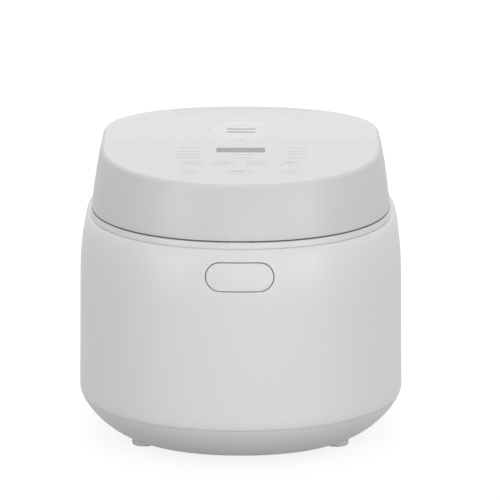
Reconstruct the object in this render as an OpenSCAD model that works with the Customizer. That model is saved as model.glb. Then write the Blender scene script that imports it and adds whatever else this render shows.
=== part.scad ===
/* [Plan] */
// Room between the casing's flange and the shell, at the sides
side_room = 1.4; // [1:0.1:6]
// Room between the pressed latch and the casing, at the front
latch_room = 1.6; // [1:0.1:6]
// How far the rounded front of the plan reaches back
front_arc = 140.5; // [132:0.5:150]
// How far the rounded rear of the plan reaches forward
rear_arc = 99; // [92:0.5:106]
// Squareness of the front of the plan (2 is an ellipse)
front_n = 2.14; // [2.05:0.01:2.4]
// Squareness of the rear of the plan
rear_n = 2.23; // [2.1:0.01:2.5]

/* [Body heights] */
// Height of the feet under the floor
foot_h = 4.5; // [3:0.5:8]
// Height of the seam between base cover and body shell
seam_z = 34.8; // [33:0.1:37]
// Height at which the belly starts to curve under
belly_z = 38.1; // [37.5:0.1:44]
// Height of the shoulder that curves in to the shell's top edge
shoulder_h = 53.2; // [40:0.1:80]
// Height of the collar that shows above the body shell
collar_h = 5.5; // [4.5:0.1:8]
// Gap between collar and closed lid
lid_gap = 1.3; // [0.8:0.1:2.5]
// Height of the lid over the middle of the body
lid_h = 50.7; // [49:0.1:64]
// Rise of the lid's top face towards the rear, in degrees
lid_slope = 2.79; // [1:0.01:4]

/* [Body profile] */
// How far the floor lies inside the widest outline
base_in = 34.1; // [28:0.1:36]
// Squareness of the belly's curve (2 is an ellipse)
belly_n = 1.39; // [1.2:0.01:1.7]
// How far the wall leans in from belly to shoulder
wall_lean = 1.1; // [0:0.1:2]
// How far the shoulder curves in
shoulder_in = 8.1; // [6.5:0.1:8.5]
// Wall thickness of the body shell
shell_t = 2.8; // [2:0.1:3.4]
// Wall thickness of the base cover
base_t = 2.5; // [2:0.1:3.5]
// Open line between parts that meet in a visible seam
seam_gap = 0.5; // [0.3:0.1:0.8]

/* [Lid] */
// How far the lid's lower edge lies inside the widest outline
lid_in = 10.5; // [9.8:0.1:11.5]
// How far the lid's wall leans in from its lower edge to its rim
lid_lean = 8.7; // [7:0.1:11]
// How far the lid's wall swells between its lower edge and its rim
lid_swell = 0.6; // [0:0.1:1.5]
// Width of the lid's rounded rim, seen from above
rim_run = 2.1; // [1.5:0.1:3]
// Height of the lid's rounded rim
rim_h = 3; // [2:0.1:4]
// Wall thickness of the lid shell
lid_t = 2.5; // [2:0.1:3]
// Thickness of the plates in the lid's top
plate_t = 2.2; // [1.8:0.1:3]
// Place of the seam between control panel and rear cover
plate_seam_y = 11.8; // [5:0.1:14]
// Thickness of the lid's underside plate
liner_t = 2.5; // [2:0.1:3.5]
// How far the lid opens, in degrees
lid_open = 85; // [60:1:88]

/* [Pot] */
// Outer radius of the pot's wall
pot_r = 113; // [105:0.5:113.5]
// Wall thickness of the pot
pot_t = 1.5; // [1:0.1:3]
// Depth of the pot below its rim
pot_depth = 138.2; // [130:0.1:142]
// Outer radius of the rounded corner of the pot's bottom
pot_corner = 18; // [12:1:30]
// Width of the pot's rim
pot_rim = 7; // [6:0.1:7.2]
// Thickness of the pot's rim
pot_rim_t = 2; // [1.5:0.1:2.5]

/* [Heating] */
// Radius of the heating plate
heater_r = 84; // [70:1:88]
// Thickness of the heating plate
heater_t = 9; // [7:0.5:12]
// Radius of the ring that the heating tube follows
tube_ring_r = 60; // [45:1:66]
// Radius of the heating tube
tube_r = 4; // [3:0.1:4.5]
// Radius of the temperature sensor's cap
sensor_r = 15; // [10:0.5:18]
// Travel of the temperature sensor
sensor_travel = 2.5; // [1:0.1:3]
// Height of the casing's floor under the pot
casing_drop = 19; // [17:0.5:24]
// Width of the flange that hangs the casing from the collar
flange_w = 5.4; // [5:0.1:7]
// Height of the power board over the base floor
board_gap = 5; // [4:0.5:8]
// Height of the tallest part on the power board
part_h = 15.4; // [13:0.1:20]
// Sheet thickness of the inner casing
casing_t = 0.8; // [0.5:0.1:1.2]
// Height of the keep-warm band
band_h = 22; // [12:1:40]

/* [Release button] */
// Width of the release button's opening in the shell
button_w = 56.5; // [44:0.5:60]
// Height of the release button's opening in the shell
button_h = 24.4; // [22:0.1:30]
// How far the release button's middle lies below the shell's top edge
button_drop = 21.8; // [18:0.1:24]
// Depth of the release button, front to back
button_depth = 7; // [6:0.1:9]
// Room for the spring behind the release button
spring_room = 7; // [6:0.1:9]
// Open line around the release button
button_gap = 0.8; // [0.3:0.1:1.2]
// Travel of the release button
button_travel = 3; // [2:0.1:3.2]

/* [Keys and display] */
// Sideways distance between the four keys of the first row
key_pitch = 27; // [24:0.1:30]
// Width of a key of the first row
key_w = 17.2; // [14:0.1:20]
// Depth of a key of the first row
key_d = 17.2; // [12:0.1:20]
// Radius of the corners of the square keys
key_corner = 5; // [2:0.1:5.4]
// Place of the first row of keys, from the middle of the body
row1_y = -56.5; // [-60:0.1:-54]
// Place of the second row of keys, from the middle of the body
row2_y = -83.2; // [-88:0.1:-81]
// Diameter of the two round keys
round_key_d = 16.6; // [12:0.1:18]
// Width of the start key
start_w = 18.4; // [14:0.1:24]
// Depth of the start key
start_d = 16.6; // [12:0.1:18]
// How far the keys stand proud of the panel
key_proud = 0.5; // [0.3:0.1:1.5]
// Travel of the keys
key_travel = 0.6; // [0.3:0.1:1]
// Width of the display window
display_w = 40.2; // [30:0.1:50]
// Depth of the display window
display_d = 16.8; // [12:0.1:20]
// Place of the display window, from the middle of the body
display_y = -17.6; // [-24:0.1:-14]

/* [Steam outlet and hinge] */
// Radius of the steam cap
cap_r = 26.8; // [24:0.1:30]
// Place of the steam cap, from the middle of the body
cap_y = 46.9; // [42:0.1:50]
// Depth of the dish in the steam cap
dish_depth = 1.8; // [1:0.1:3]
// Width of the two steam slots
slot_w = 24.5; // [18:0.5:30]
// Lift of the steam cap when it is pulled off
cap_lift = 25; // [10:1:40]
// Radius of the hinge pin
pin_r = 2; // [1.5:0.1:2.5]
// Outer radius of the hinge knuckles
knuckle_r = 4.6; // [4:0.1:4.8]
// Height of the slots in the dish, front to back
slot_h = 3.8; // [2:0.1:4.5]
// Half the distance between the two hinge ears
ear_x = 31; // [24:0.5:34]
// Width of a hinge ear
ear_w = 12; // [8:0.5:15]

/* [Fits] */
// Gap around pieces that move or drop in
part_gap = 0.3; // [0.2:0.05:0.5]
// Radial running clearance of pins in their bores
run_gap = 0.05; // [0.02:0.01:0.1]

/* [Feet and mains inlet] */
// Radius of a foot
foot_r = 10; // [8:0.5:12]
// How far the front feet lie inside the body's sides
front_foot_side = 55.5; // [54:0.5:70]
// How far the rear feet lie inside the body's sides
rear_foot_side = 64; // [60:0.5:80]
// How far the front feet lie behind the body's front
front_foot_in = 83.5; // [80:0.5:100]
// How far the rear feet lie before the body's rear
rear_foot_in = 65.5; // [62:0.5:80]
// Width of the mains inlet's socket
inlet_w = 24.5; // [20:0.5:28]
// Height of the mains inlet's socket
inlet_h = 16.5; // [14:0.5:20]
// Height of the mains inlet's middle
inlet_z = 64; // [56:1:90]

/* [Hidden] */
$fn = 64;

white = [0.9, 0.9, 0.89];
grey = [0.62, 0.62, 0.62];
dark = [0.25, 0.25, 0.27];
steel = [0.72, 0.73, 0.75];
copper = [0.8, 0.55, 0.35];
board_green = [0.15, 0.4, 0.25];

// the pot and what carries it, from the ground up and from the middle out
floor_z = foot_h + base_t;                   // inner face of the base floor
board_t = 1.6;
board_z = floor_z + board_gap;               // underside of the power board
casing_z = board_z + board_t + part_h + 1;   // underside of the inner casing
pot_floor = casing_z + casing_drop;          // underside of the pot
pot_seat = pot_floor + pot_depth;            // underside of the pot's rim
rim_r = pot_r + pot_rim;
mouth_r = pot_r + 3.9;                       // opening of the collar
casing_r = mouth_r - 0.3;                    // outer radius of the inner casing
flange_r = casing_r + flange_w;

// the body's outside
shell_top = pot_seat - 1;
shoulder_z = shell_top - shoulder_h;
shell_in = wall_lean + shoulder_in + shell_t + 0.6;   // inner face of the shell's top edge
slide_t = 4;                                 // thickness of the latch's slide
guide_t = 2;                                 // thickness of the plate that guides it
half_w = flange_r + side_room + shell_in;
half_d = casing_r + latch_room + button_travel + slide_t + part_gap + guide_t + spring_room + button_depth;
front_y = front_arc - half_d;                // middle of the front oval
rear_y = half_d - rear_arc;                  // middle of the rear oval
arc_steps = 28;                              // straight stretches in each half of the plan
slant = tan(lid_slope);

collar_low = shell_top - 3;                  // underside of the collar
collar_top = shell_top + collar_h;
collar_in = wall_lean + shoulder_in + 0.4;   // the collar stands a little inside the shoulder
lid_low = collar_top + lid_gap;
lid_top = lid_low + lid_h;
plate_in = lid_in + lid_lean + rim_run;      // where the rim ends and the plates begin
ledge = 3.7;                                 // width of the ledge under the plates
ledge_t = 2;                                 // thickness of that ledge
ledge_low = (plate_t + 0.02) / cos(lid_slope);   // drop from the lid's top to that ledge
inside_in = lid_in + lid_t + 0.8;            // edge of the lid's underside plate

post_r = 4.2;                                // posts between casing and base
post_ring = casing_r - 18;
screw_r = 1.5;
screw_head_r = 3.4;
screw_head_h = 2;

board_w = 116;
board_d = 66;
standoff_r = 3;
front_foot = [half_w - front_foot_side, front_foot_in - half_d];
rear_foot = [half_w - rear_foot_side, half_d - rear_foot_in];

button_z = shell_top - button_drop;
button_face_in = wall_lean + shoulder_in;    // deepest point of the shoulder at the button
button_back = button_depth - half_d;         // rear face of the release button
guide_y = button_back + spring_room;         // front face of the guide plate
stem_r = 4;
frame_x = button_w / 2 + 6;                  // middle of the posts that carry the guide plate
catch_t = 2.5;
catch_w = 16;
catch_y = guide_y;                           // front face of the lid's catch
catch_low = button_z + 10.3;                 // lower end of the catch
nose_low = catch_low + 2.6;
nose_h = 3.4;
slot_play = 1.5;                             // room for the catch in front of and behind it

axis_y = half_d - 6.5;                       // hinge axis
axis_z = lid_low + 2.6;
bracket_y = rim_r + 4.3;                     // front face of the hinge bracket
bracket_low = shell_top - 18;
bracket_top = axis_z - knuckle_r - 0.4;
bracket_x = ear_x + ear_w + 1;
coil_half = 8;                               // half the length of the torsion spring
arm_t = 3.5;                                 // thickness of the hinge arm's plate
arm_reach = 30;                              // how far the arm reaches into the lid

liner_top = lid_low + liner_t;
inner_lid_z = pot_seat + pot_rim_t + 1;      // underside of the inner lid
inner_lid_t = 1;
inner_lid_r = pot_r + 1;
steam_r = 6;                                 // steam tube under the cup
steam_bore = 4.2;
slot_mid = 1.3;                              // the slots lie a little behind the cap's middle
slot_pitch = 9.5;
cup_r = cap_r - 6;                           // inner radius of the steam cup
cup_t = 1.6;
cup_h = lid_top + cap_y * slant - liner_top - 2;  // depth of the cup's floor below the lid's top

panel_board_z = -12;                         // underside of the display board, from the lid's top
panel_board_x = 62;                          // half the width of the display board
switch_h = 5;
flange_t = 1;
key_flange = 1.2;                            // how far a key's flange reaches under the panel

inlet_flange = 4.5;
inlet_depth = 14;
inlet_flange_t = 1.2;
inlet_face = half_d - 1.1;                   // outer face of the inlet's flange

// name, x, y, width, depth and corner radius of each key
menu = [-1.5 * key_pitch, row1_y, key_w, key_d, key_corner];
timer = [-0.5 * key_pitch, row1_y, key_w, key_d, key_corner];
hour = [0.5 * key_pitch, row1_y, key_w, key_d, key_corner];
minute = [1.5 * key_pitch, row1_y, key_w, key_d, key_corner];
warm = [-1.5 * key_pitch, row2_y, round_key_d, round_key_d, round_key_d / 2];
start = [0, row2_y, start_w, start_d, key_corner];
off = [1.5 * key_pitch, row2_y, round_key_d, round_key_d, round_key_d / 2];
KEYS = [menu, timer, hour, minute, warm, start, off];

// ---- plan and profiles ----

// Half an oval of squareness n, from angle a0 to a0 + 180
function half_oval(a, b, n, a0) = [
    for (i = [0:arc_steps]) let (t = a0 + 180 * i / arc_steps, c = cos(t), s = sin(t))
        [a * sign(c) * pow(abs(c), 2 / n), b * sign(s) * pow(abs(s), 2 / n)]
];

// Plan outline, moved inwards from the widest one
function outline(inset) = concat(
    [for (p = half_oval(half_w - inset, rear_arc - inset, rear_n, 0)) p + [0, rear_y]],
    [for (p = half_oval(half_w - inset, front_arc - inset, front_n, 180)) p + [0, front_y]]
);

// Rear edge of the plan at x
function rear_edge(x, inset) =
    rear_y + (rear_arc - inset) * pow(1 - pow(abs(x) / (half_w - inset), rear_n), 1 / rear_n);

// Front edge of the plan at x
function front_edge(x, inset) =
    front_y - (front_arc - inset) * pow(1 - pow(abs(x) / (half_w - inset), front_n), 1 / front_n);

// Outline at [inset, height, follow]: follow 1 tilts it with the lid's top
function ring(p) = [
    for (q = outline(p[0])) [q[0], q[1], p[1] + (len(p) > 2 ? p[2] * slant * q[1] : 0)]
];

// Belly from the seam (k = 0) to the floor (k = 1): [inset, height]
belly_h = belly_z - foot_h;
seam_angle = asin(pow((belly_z - seam_z) / belly_h, belly_n / 2));
function belly(k) = let (a = seam_angle + (90 - seam_angle) * k)
    [base_in * (1 - pow(cos(a), 2 / belly_n)), belly_z - belly_h * pow(sin(a), 2 / belly_n)];

// Inset of the belly at a height near the seam
function belly_inset(z) = z >= belly_z ? 0
    : base_in * (1 - pow(1 - pow((belly_z - z) / belly_h, belly_n), 1 / belly_n));

// Shoulder from its start (k = 0) to the shell's top edge (k = 1): [inset, height]
function shoulder(k) =
    [wall_lean + shoulder_in * (1 - cos(90 * k)), shoulder_z + (shell_top - shoulder_z) * sin(90 * k)];

shoulder_steps = 8;
shoulder_rings = [for (i = [0:shoulder_steps]) shoulder(i / shoulder_steps)];

// Lid wall from its lower edge (u = 0) to its rim (u = 1): [inset, height, follow]
function lid_wall(u, extra) = [
    lid_in + lid_lean * u - lid_swell * sin(180 * u) + extra,
    lid_low + u * (lid_top - rim_h - lid_low), u
];

// Skin through rings of equal size: a loop of rings is a tube, any other has two end caps
module skin(rings, loop = false) {
    n = len(rings[0]);
    m = len(rings);
    sides = [
        for (j = [0:m - (loop ? 1 : 2)], i = [0:n - 1])
            let (a = j * n + i, b = j * n + (i + 1) % n,
                 c = (j + 1) % m * n + (i + 1) % n, d = (j + 1) % m * n + i)
            each [[a, c, b], [a, d, c]]
    ];
    caps = loop ? [] : [[for (i = [0:n - 1]) i], [for (i = [n - 1:-1:0]) (m - 1) * n + i]];
    polyhedron([for (r = rings) each r], concat(sides, caps));
}

// ---- shared shapes ----

module tube(r, bore, h) {
    difference() {
        cylinder(h = h, r = r);
        translate([0, 0, -1]) cylinder(h = h + 2, r = bore);
    }
}

module round_rect(w, d, r) {
    square([w - 2 * r, d], center = true);
    if (d > 2 * r) square([w, d - 2 * r], center = true);
    for (x = [-1, 1], y = [-1, 1]) translate([x * (w / 2 - r), y * (d / 2 - r)]) circle(r);
}

module slab(w, d, r, z0, z1) {
    translate([0, 0, z0]) linear_extrude(z1 - z0)
        if (r * 2 < w) round_rect(w, d, r); else circle(r);
}

module box(x, y, z) {
    translate([x[0], y[0], z[0]]) cube([x[1] - x[0], y[1] - y[0], z[1] - z[0]]);
}

// Pan-head screw, head at the origin pointing down, shank up
module screw(length) {
    translate([0, 0, -screw_head_h]) cylinder(h = screw_head_h, r = screw_head_r, $fn = 32);
    cylinder(h = length, r = screw_r, $fn = 32);
}

// Round wire coiled about Z, from the origin up
module coil(r, wire, h, turns) {
    steps = ceil(turns * 14);
    skin([for (i = [0:steps]) let (t = 360 * turns * i / steps, z = wire + (h - 2 * wire) * i / steps)
        [for (k = [0:5]) let (c = r + wire * cos(60 * k)) [c * cos(t), c * sin(t), z - wire * sin(60 * k)]]]);
}

module on_top() {
    translate([0, 0, lid_top]) rotate([lid_slope, 0, 0]) children();
}

// Solid inside the body's outer face, for pieces that lie flush with it
module body_envelope() {
    skin([for (p = [[0, belly_z], each shoulder_rings, [collar_in, collar_top]]) ring(p)]);
}

module at_posts() {
    for (a = [20, 160, 200, 340]) rotate(a) translate([post_ring, 0]) children();
}

module at_collar_screws() {
    for (a = [50, 130, 230, 310]) rotate(a) translate([casing_r + screw_head_r + 0.2, 0]) children();
}

// Screw posts of the lid, outside the gasket
post_in = 18.4;
lid_posts = [
    for (s = [-1, 1], p = [[50, front_edge(50, post_in)], [82, rear_edge(82, post_in)]]) [s * p[0], p[1]]
];

module at_lid_posts() {
    for (p = lid_posts) translate(p) children();
}

module at_board_posts() {
    for (x = [-1, 1], y = [-1, 1]) translate([x * (board_w / 2 - 5), y * (board_d / 2 - 5)]) children();
}

// ---- body ----

module body_shell() {
    outer = [[belly_inset(seam_z + seam_gap), seam_z + seam_gap], [0, belly_z], each shoulder_rings];
    inner = [
        [shell_in, shell_top],
        [shell_in, shell_top - 4],
        for (i = [shoulder_steps - 3:-2:0]) shoulder_rings[i] + [shell_t, 0],
        [shell_t, belly_z], [shell_t + belly_inset(seam_z + seam_gap), seam_z + seam_gap]
    ];
    color(white) difference() {
        union() {
            skin([for (p = concat(outer, inner)) ring(p)], loop = true);
            // posts for the latch's guide plate
            for (s = [-1, 1]) translate([s * frame_x, 0]) box([-2.5, 2.5],
                [front_edge(frame_x, button_face_in + shell_t - 6.5), guide_y], [button_z - 5, button_z + 5]);
        }
        for (s = [-1, 1]) translate([s * frame_x, guide_y + 1, button_z]) rotate([90, 0, 0])
            cylinder(h = 4, r = 1, $fn = 24);
        // release button
        translate([0, 0, button_z]) rotate([90, 0, 0])
            slab(button_w, button_h, button_h / 2, half_d - 20, half_d + 5);
        // hinge bracket
        box([-bracket_x, bracket_x], [bracket_y, half_d + 5], [bracket_low, shell_top + 5]);
        // mains inlet and the seat of its flange
        box([-inlet_w / 2 - 2, inlet_w / 2 + 2], [rim_r, half_d + 5],
            [inlet_z - inlet_h / 2 - 2, inlet_z + inlet_h / 2 + 2]);
        box([-inlet_w / 2 - inlet_flange, inlet_w / 2 + inlet_flange], [inlet_face - inlet_flange_t, half_d + 5],
            [inlet_z - inlet_h / 2 - inlet_flange, inlet_z + inlet_h / 2 + inlet_flange]);
    }
}

module base_cover() {
    steps = 8;
    outer = [for (i = [steps:-1:0]) belly(i / steps)];
    inner = [for (i = [2:steps]) belly(i / steps) + (i < steps ? [2.2, 2] : [1.2, base_t])];
    rim = [outer[steps] + [base_t, 0]];
    color(white) difference() {
        union() {
            skin([for (p = concat(outer, rim, inner)) ring(p)]);
            at_board_posts() translate([0, 0, foot_h + 1]) cylinder(h = board_z - foot_h - 1, r = standoff_r, $fn = 32);
            at_feet() translate([0, 0, foot_h]) cylinder(h = 5.5, r = foot_r - 0.4);
        }
        at_posts() translate([0, 0, -1]) cylinder(h = floor_z + 2, r = screw_r + 0.2, $fn = 32);
        // air slots in the floor
        for (i = [-4:4])
            box([i * 9 - 1.75, i * 9 + 1.75], [board_d / 2 + 14, board_d / 2 + 44], [0, floor_z + 1]);
    }
}

module at_feet() {
    for (s = [-1, 1], p = [front_foot, rear_foot])
        translate([s * p[0], p[1]]) children();
}

module feet() {
    color(grey) at_feet() {
        translate([0, 0, 1]) cylinder(h = foot_h - 1, r = foot_r);
        cylinder(h = 1, r1 = foot_r - 1, r2 = foot_r);
    }
}

module base_screws() {
    color(steel) at_posts() translate([0, 0, foot_h]) screw(floor_z - foot_h + 12);
}

module collar() {
    lip = shell_in + part_gap;
    profile = [
        [lip, collar_low], [lip, shell_top], [collar_in + 1.2, shell_top], [collar_in + 1.2, shell_top + seam_gap],
        [collar_in, shell_top + seam_gap], [collar_in + 0.3, collar_top - 0.6], [collar_in + 0.9, collar_top]
    ];
    color(white) difference() {
        skin([for (p = profile) ring(p)]);
        translate([0, 0, collar_low - 1]) cylinder(h = collar_h + 9, r = mouth_r, $fn = 96);
        translate([0, 0, pot_seat]) cylinder(h = collar_h + 9, r = rim_r + 0.6, $fn = 96);
        // way for the lid's catch
        box([-catch_w / 2 - 2, catch_w / 2 + 2], [catch_y - slot_play, catch_y + catch_t + slot_play - 0.3],
            [collar_low - 1, collar_top + 1]);
        // seat of the hinge bracket
        box([-bracket_x, bracket_x], [bracket_y, half_d + 5], [collar_low - 1, collar_top + 1]);
        at_collar_screws() translate([0, 0, collar_low - 1]) cylinder(h = 4, r = screw_r, $fn = 32);
    }
}

module collar_screws() {
    color(steel) at_collar_screws() translate([0, 0, collar_low - casing_t]) screw(casing_t + 2.8);
}

module inner_casing() {
    color(steel) difference() {
        union() {
            translate([0, 0, casing_z]) cylinder(h = collar_low - casing_z, r = casing_r, $fn = 96);
            translate([0, 0, collar_low - casing_t]) cylinder(h = casing_t, r = flange_r, $fn = 96);
            at_posts() translate([0, 0, floor_z]) cylinder(h = casing_z - floor_z + casing_t, r = post_r, $fn = 32);
        }
        translate([0, 0, casing_z + casing_t])
            cylinder(h = collar_low, r = casing_r - casing_t, $fn = 96);
        translate([0, 0, casing_z - 1]) cylinder(h = 4, r = sensor_r - 3.5);
        at_posts() translate([0, 0, floor_z - 1]) cylinder(h = 14, r = screw_r, $fn = 32);
        at_collar_screws() translate([0, 0, collar_low - 2]) cylinder(h = 4, r = screw_r, $fn = 32);
        for (s = [-1, 1]) rotate(90 + s * 22) translate([tube_ring_r, 0, casing_z - 1])
            cylinder(h = 4, r = tube_r + 1.5);
    }
}

module heating_plate() {
    color(steel) difference() {
        union() {
            translate([0, 0, pot_floor - heater_t]) cylinder(h = heater_t, r = heater_r, $fn = 96);
            for (a = [30, 150, 270]) rotate(a)
                translate([heater_r - 8, 0, casing_z + casing_t])
                    cylinder(h = casing_drop - casing_t - heater_t + 1, r = 4, $fn = 32);
        }
        translate([0, 0, pot_floor - heater_t - 1]) cylinder(h = heater_t + 2, r = sensor_r + 1.5);
        translate([0, 0, pot_floor - heater_t])
            rotate_extrude($fn = 96) translate([tube_ring_r, 0]) circle(tube_r + 0.1, $fn = 32);
    }
}

module heating_tube() {
    color(grey) {
        translate([0, 0, pot_floor - heater_t]) rotate(90 + 22)
            rotate_extrude(angle = 316, $fn = 96) translate([tube_ring_r, 0]) circle(tube_r, $fn = 32);
        for (s = [-1, 1]) rotate(90 + s * 22) translate([tube_ring_r, 0, casing_z - 3])
            cylinder(h = pot_floor - heater_t - casing_z + 3, r = tube_r - 0.8, $fn = 32);
    }
}

module keep_warm_band() {
    color(copper) translate([0, 0, pot_seat - 60]) tube(casing_r + 1.3, casing_r + 0.1, band_h, $fn = 96);
}

module inner_pot() {
    inner_r = pot_r - pot_t;
    inner_corner = pot_corner - pot_t;
    outer = concat(
        [[0, 0]],
        [for (a = [-90:10:0]) [pot_r - pot_corner + pot_corner * cos(a), pot_corner + pot_corner * sin(a)]],
        [[pot_r, pot_depth], [rim_r, pot_depth], [rim_r, pot_depth + pot_rim_t], [inner_r, pot_depth + pot_rim_t]]
    );
    inner = concat(
        [for (a = [0:-10:-90]) [inner_r - inner_corner + inner_corner * cos(a), pot_corner + inner_corner * sin(a)]],
        [[0, pot_t]]
    );
    color(dark) translate([0, 0, pot_floor]) rotate_extrude($fn = 96) polygon(concat(outer, inner));
}

module sensor_holder() {
    color(grey) translate([0, 0, casing_z - 6]) difference() {
        union() {
            cylinder(h = 6, r = sensor_r - 2);
            translate([0, 0, 5]) cylinder(h = 1, r = sensor_r + 1);
        }
        translate([0, 0, -1]) cylinder(h = 9, r = 4 + run_gap);
        translate([0, 0, 1.5]) cylinder(h = 9, r = sensor_r - 4.5);
    }
}

module sensor_cap() {
    top = pot_floor - part_gap;
    color(steel) {
        translate([0, 0, top - 6]) difference() {
            cylinder(h = 6, r = sensor_r);
            translate([0, 0, -1]) cylinder(h = 5.5, r = sensor_r - 1.2);
        }
        translate([0, 0, casing_z - 8]) cylinder(h = top - casing_z + 7.5, r = 4);
    }
}

module sensor_spring() {
    color(steel) translate([0, 0, casing_z - 4.5])
        coil(6.5, 0.6, pot_floor - part_gap - 1.5 - casing_z + 4.5, 5);
}

module thermal_fuse() {
    color(white) translate([-6, -40, casing_z - 3]) rotate([0, 90, 0]) cylinder(h = 12, r = 2.2, $fn = 32);
    color(steel) box([-4, 4], [-43.5, -36.5], [casing_z - 0.8, casing_z]);
}

// ---- electrics under the casing ----

module power_board() {
    color(board_green) translate([0, 0, board_z])
        linear_extrude(board_t) square([board_w, board_d], center = true);
}

module relay() {
    low = board_z + board_t;
    color(dark) translate([24, 11.5, low]) linear_extrude(part_h) square([20, 15], center = true);
}

module capacitor() {
    color(copper) translate([-8, -18, board_z + board_t + 5]) rotate([0, 90, 0]) cylinder(h = 16, r = 5, $fn = 32);
}

module transformer() {
    color(grey) {
        translate([-34, 9, board_z + board_t]) linear_extrude(4) square([24, 26], center = true);
        translate([-34, 9, board_z + board_t + 4]) linear_extrude(part_h - 4) square([16, 18], center = true);
    }
}

module mains_inlet() {
    w = inlet_w / 2;
    h = inlet_h / 2;
    color(dark) difference() {
        union() {
            box([-w - inlet_flange + part_gap, w + inlet_flange - part_gap], [inlet_face - inlet_flange_t, inlet_face],
                [inlet_z - h - inlet_flange + part_gap, inlet_z + h + inlet_flange - part_gap]);
            box([-w - 1.7, w + 1.7], [inlet_face - inlet_depth - 1.7, inlet_face - 0.5],
                [inlet_z - h - 1.7, inlet_z + h + 1.7]);
        }
        box([-w, w], [inlet_face - inlet_depth, inlet_face + 1], [inlet_z - h, inlet_z + h]);
        for (p = [[-7, -2], [0, 3], [7, -2]])
            box([p[0] - 1, p[0] + 1], [inlet_face - inlet_depth - 3, inlet_face - inlet_depth + 1],
                [inlet_z + p[1] - 2, inlet_z + p[1] + 2]);
    }
}

module inlet_pins() {
    color(steel) for (p = [[-7, -2], [0, 3], [7, -2]])
        box([p[0] - 1, p[0] + 1], [inlet_face - inlet_depth - 4, inlet_face - 6],
            [inlet_z + p[1] - 2, inlet_z + p[1] + 2]);
}

// ---- release button and latch ----

module release_button() {
    color(white) intersection() {
        body_envelope();
        translate([0, 0, button_z]) rotate([90, 0, 0])
            slab(button_w - 2 * button_gap, button_h - 2 * button_gap, button_h / 2 - button_gap,
                -button_back, half_d + 5);
    }
}

module latch_slide() {
    arm_y = guide_y + guide_t + part_gap;
    nose_y = catch_y + catch_t + 0.4;
    color(grey) {
        translate([0, arm_y + 1, button_z]) rotate([90, 0, 0]) cylinder(h = arm_y + 1 - button_back, r = stem_r);
        box([-9, 9], [arm_y, arm_y + slide_t], [button_z - 5, button_z + 7]);
        box([-7, 7], [nose_y + 1.1, arm_y + slide_t], [button_z + 6, nose_low + nose_h]);
        box([-5, 5], [nose_y, nose_y + 1.2], [nose_low, nose_low + nose_h]);
    }
}

module latch_frame() {
    color(grey) difference() {
        box([-frame_x - 2.5, frame_x + 2.5], [guide_y, guide_y + guide_t], [button_z - 7, button_z + 7]);
        translate([0, guide_y + guide_t + 1, button_z]) rotate([90, 0, 0])
            cylinder(h = guide_t + 2, r = stem_r + run_gap);
        for (s = [-1, 1]) translate([s * frame_x, guide_y + guide_t + 1, button_z]) rotate([90, 0, 0])
            cylinder(h = guide_t + 2, r = 1.1, $fn = 24);
    }
}

module latch_screws() {
    color(steel) for (s = [-1, 1]) translate([s * frame_x, guide_y + guide_t, button_z]) rotate([90, 0, 0]) {
        translate([0, 0, -1.4]) cylinder(h = 1.4, r = 2, $fn = 24);
        cylinder(h = guide_t + 2.8, r = 1, $fn = 24);
    }
}

// Drawn at its pressed length, so that it can move with the button
module release_spring() {
    color(steel) translate([0, guide_y - button_travel - part_gap, button_z])
        rotate([90, 0, 0]) coil(6.5, 0.5, guide_y - button_back - button_travel - part_gap, 3);
}

// ---- hinge ----

module hinge_bracket() {
    color(white) difference() {
        union() {
            intersection() {
                body_envelope();
                box([-bracket_x + 0.1, bracket_x - 0.1], [bracket_y, half_d + 5], [bracket_low, bracket_top]);
            }
            for (s = [-1, 1]) translate([s * (ear_x + ear_w / 2) - ear_w / 2, 0]) {
                box([0, ear_w], [axis_y - knuckle_r, axis_y + knuckle_r], [bracket_top - 8, axis_z]);
                translate([0, axis_y, axis_z]) rotate([0, 90, 0]) cylinder(h = ear_w, r = knuckle_r);
            }
        }
        translate([-half_w, axis_y, axis_z]) rotate([0, 90, 0]) cylinder(h = 2 * half_w, r = pin_r + run_gap);
    }
}

module hinge_pin() {
    color(steel) translate([-ear_x - ear_w + 1, axis_y, axis_z]) rotate([0, 90, 0])
        cylinder(h = 2 * (ear_x + ear_w - 1), r = pin_r);
}

module hinge_spring() {
    color(steel) {
        translate([-coil_half, axis_y, axis_z]) rotate([0, 90, 0]) coil(pin_r + 1.3, 0.7, 2 * coil_half, 8);
        // leg down to the bracket, and leg forward to the arm
        translate([-coil_half + 0.7, axis_y + pin_r + 1.3, bracket_top])
            cylinder(h = axis_z - bracket_top, r = 0.6, $fn = 24);
        translate([coil_half - 0.7, axis_y, axis_z + pin_r + 1.3]) rotate([90, 0, 0])
            cylinder(h = 2.7, r = 0.5, $fn = 24);
    }
}

module hinge_arm() {
    back = axis_y - knuckle_r - 0.6;
    color(grey) difference() {
        union() {
            box([-ear_x + 1, ear_x - 1], [back - arm_reach, back], [liner_top, liner_top + arm_t]);
            for (s = [-1, 1]) translate([s * (ear_x + coil_half + 2) / 2 - (ear_x - coil_half - 4) / 2, 0]) {
                box([0, ear_x - coil_half - 4], [back - 2, axis_y], [liner_top, liner_top + arm_t]);
                translate([0, axis_y, axis_z]) rotate([0, 90, 0]) cylinder(h = ear_x - coil_half - 4, r = knuckle_r);
            }
        }
        translate([-half_w, axis_y, axis_z]) rotate([0, 90, 0]) cylinder(h = 2 * half_w, r = pin_r + run_gap);
        for (s = [-1, 1]) translate([s * 18, back - arm_reach + 8, liner_top - 1]) cylinder(h = arm_t + 2, r = screw_r + 0.1, $fn = 32);
    }
}

module arm_screws() {
    back = axis_y - knuckle_r - 0.6;
    color(steel) for (s = [-1, 1]) translate([s * 18, back - arm_reach + 8, liner_top + arm_t])
        rotate([180, 0, 0]) screw(arm_t + liner_t - 0.5);
}

// ---- lid ----

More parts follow.
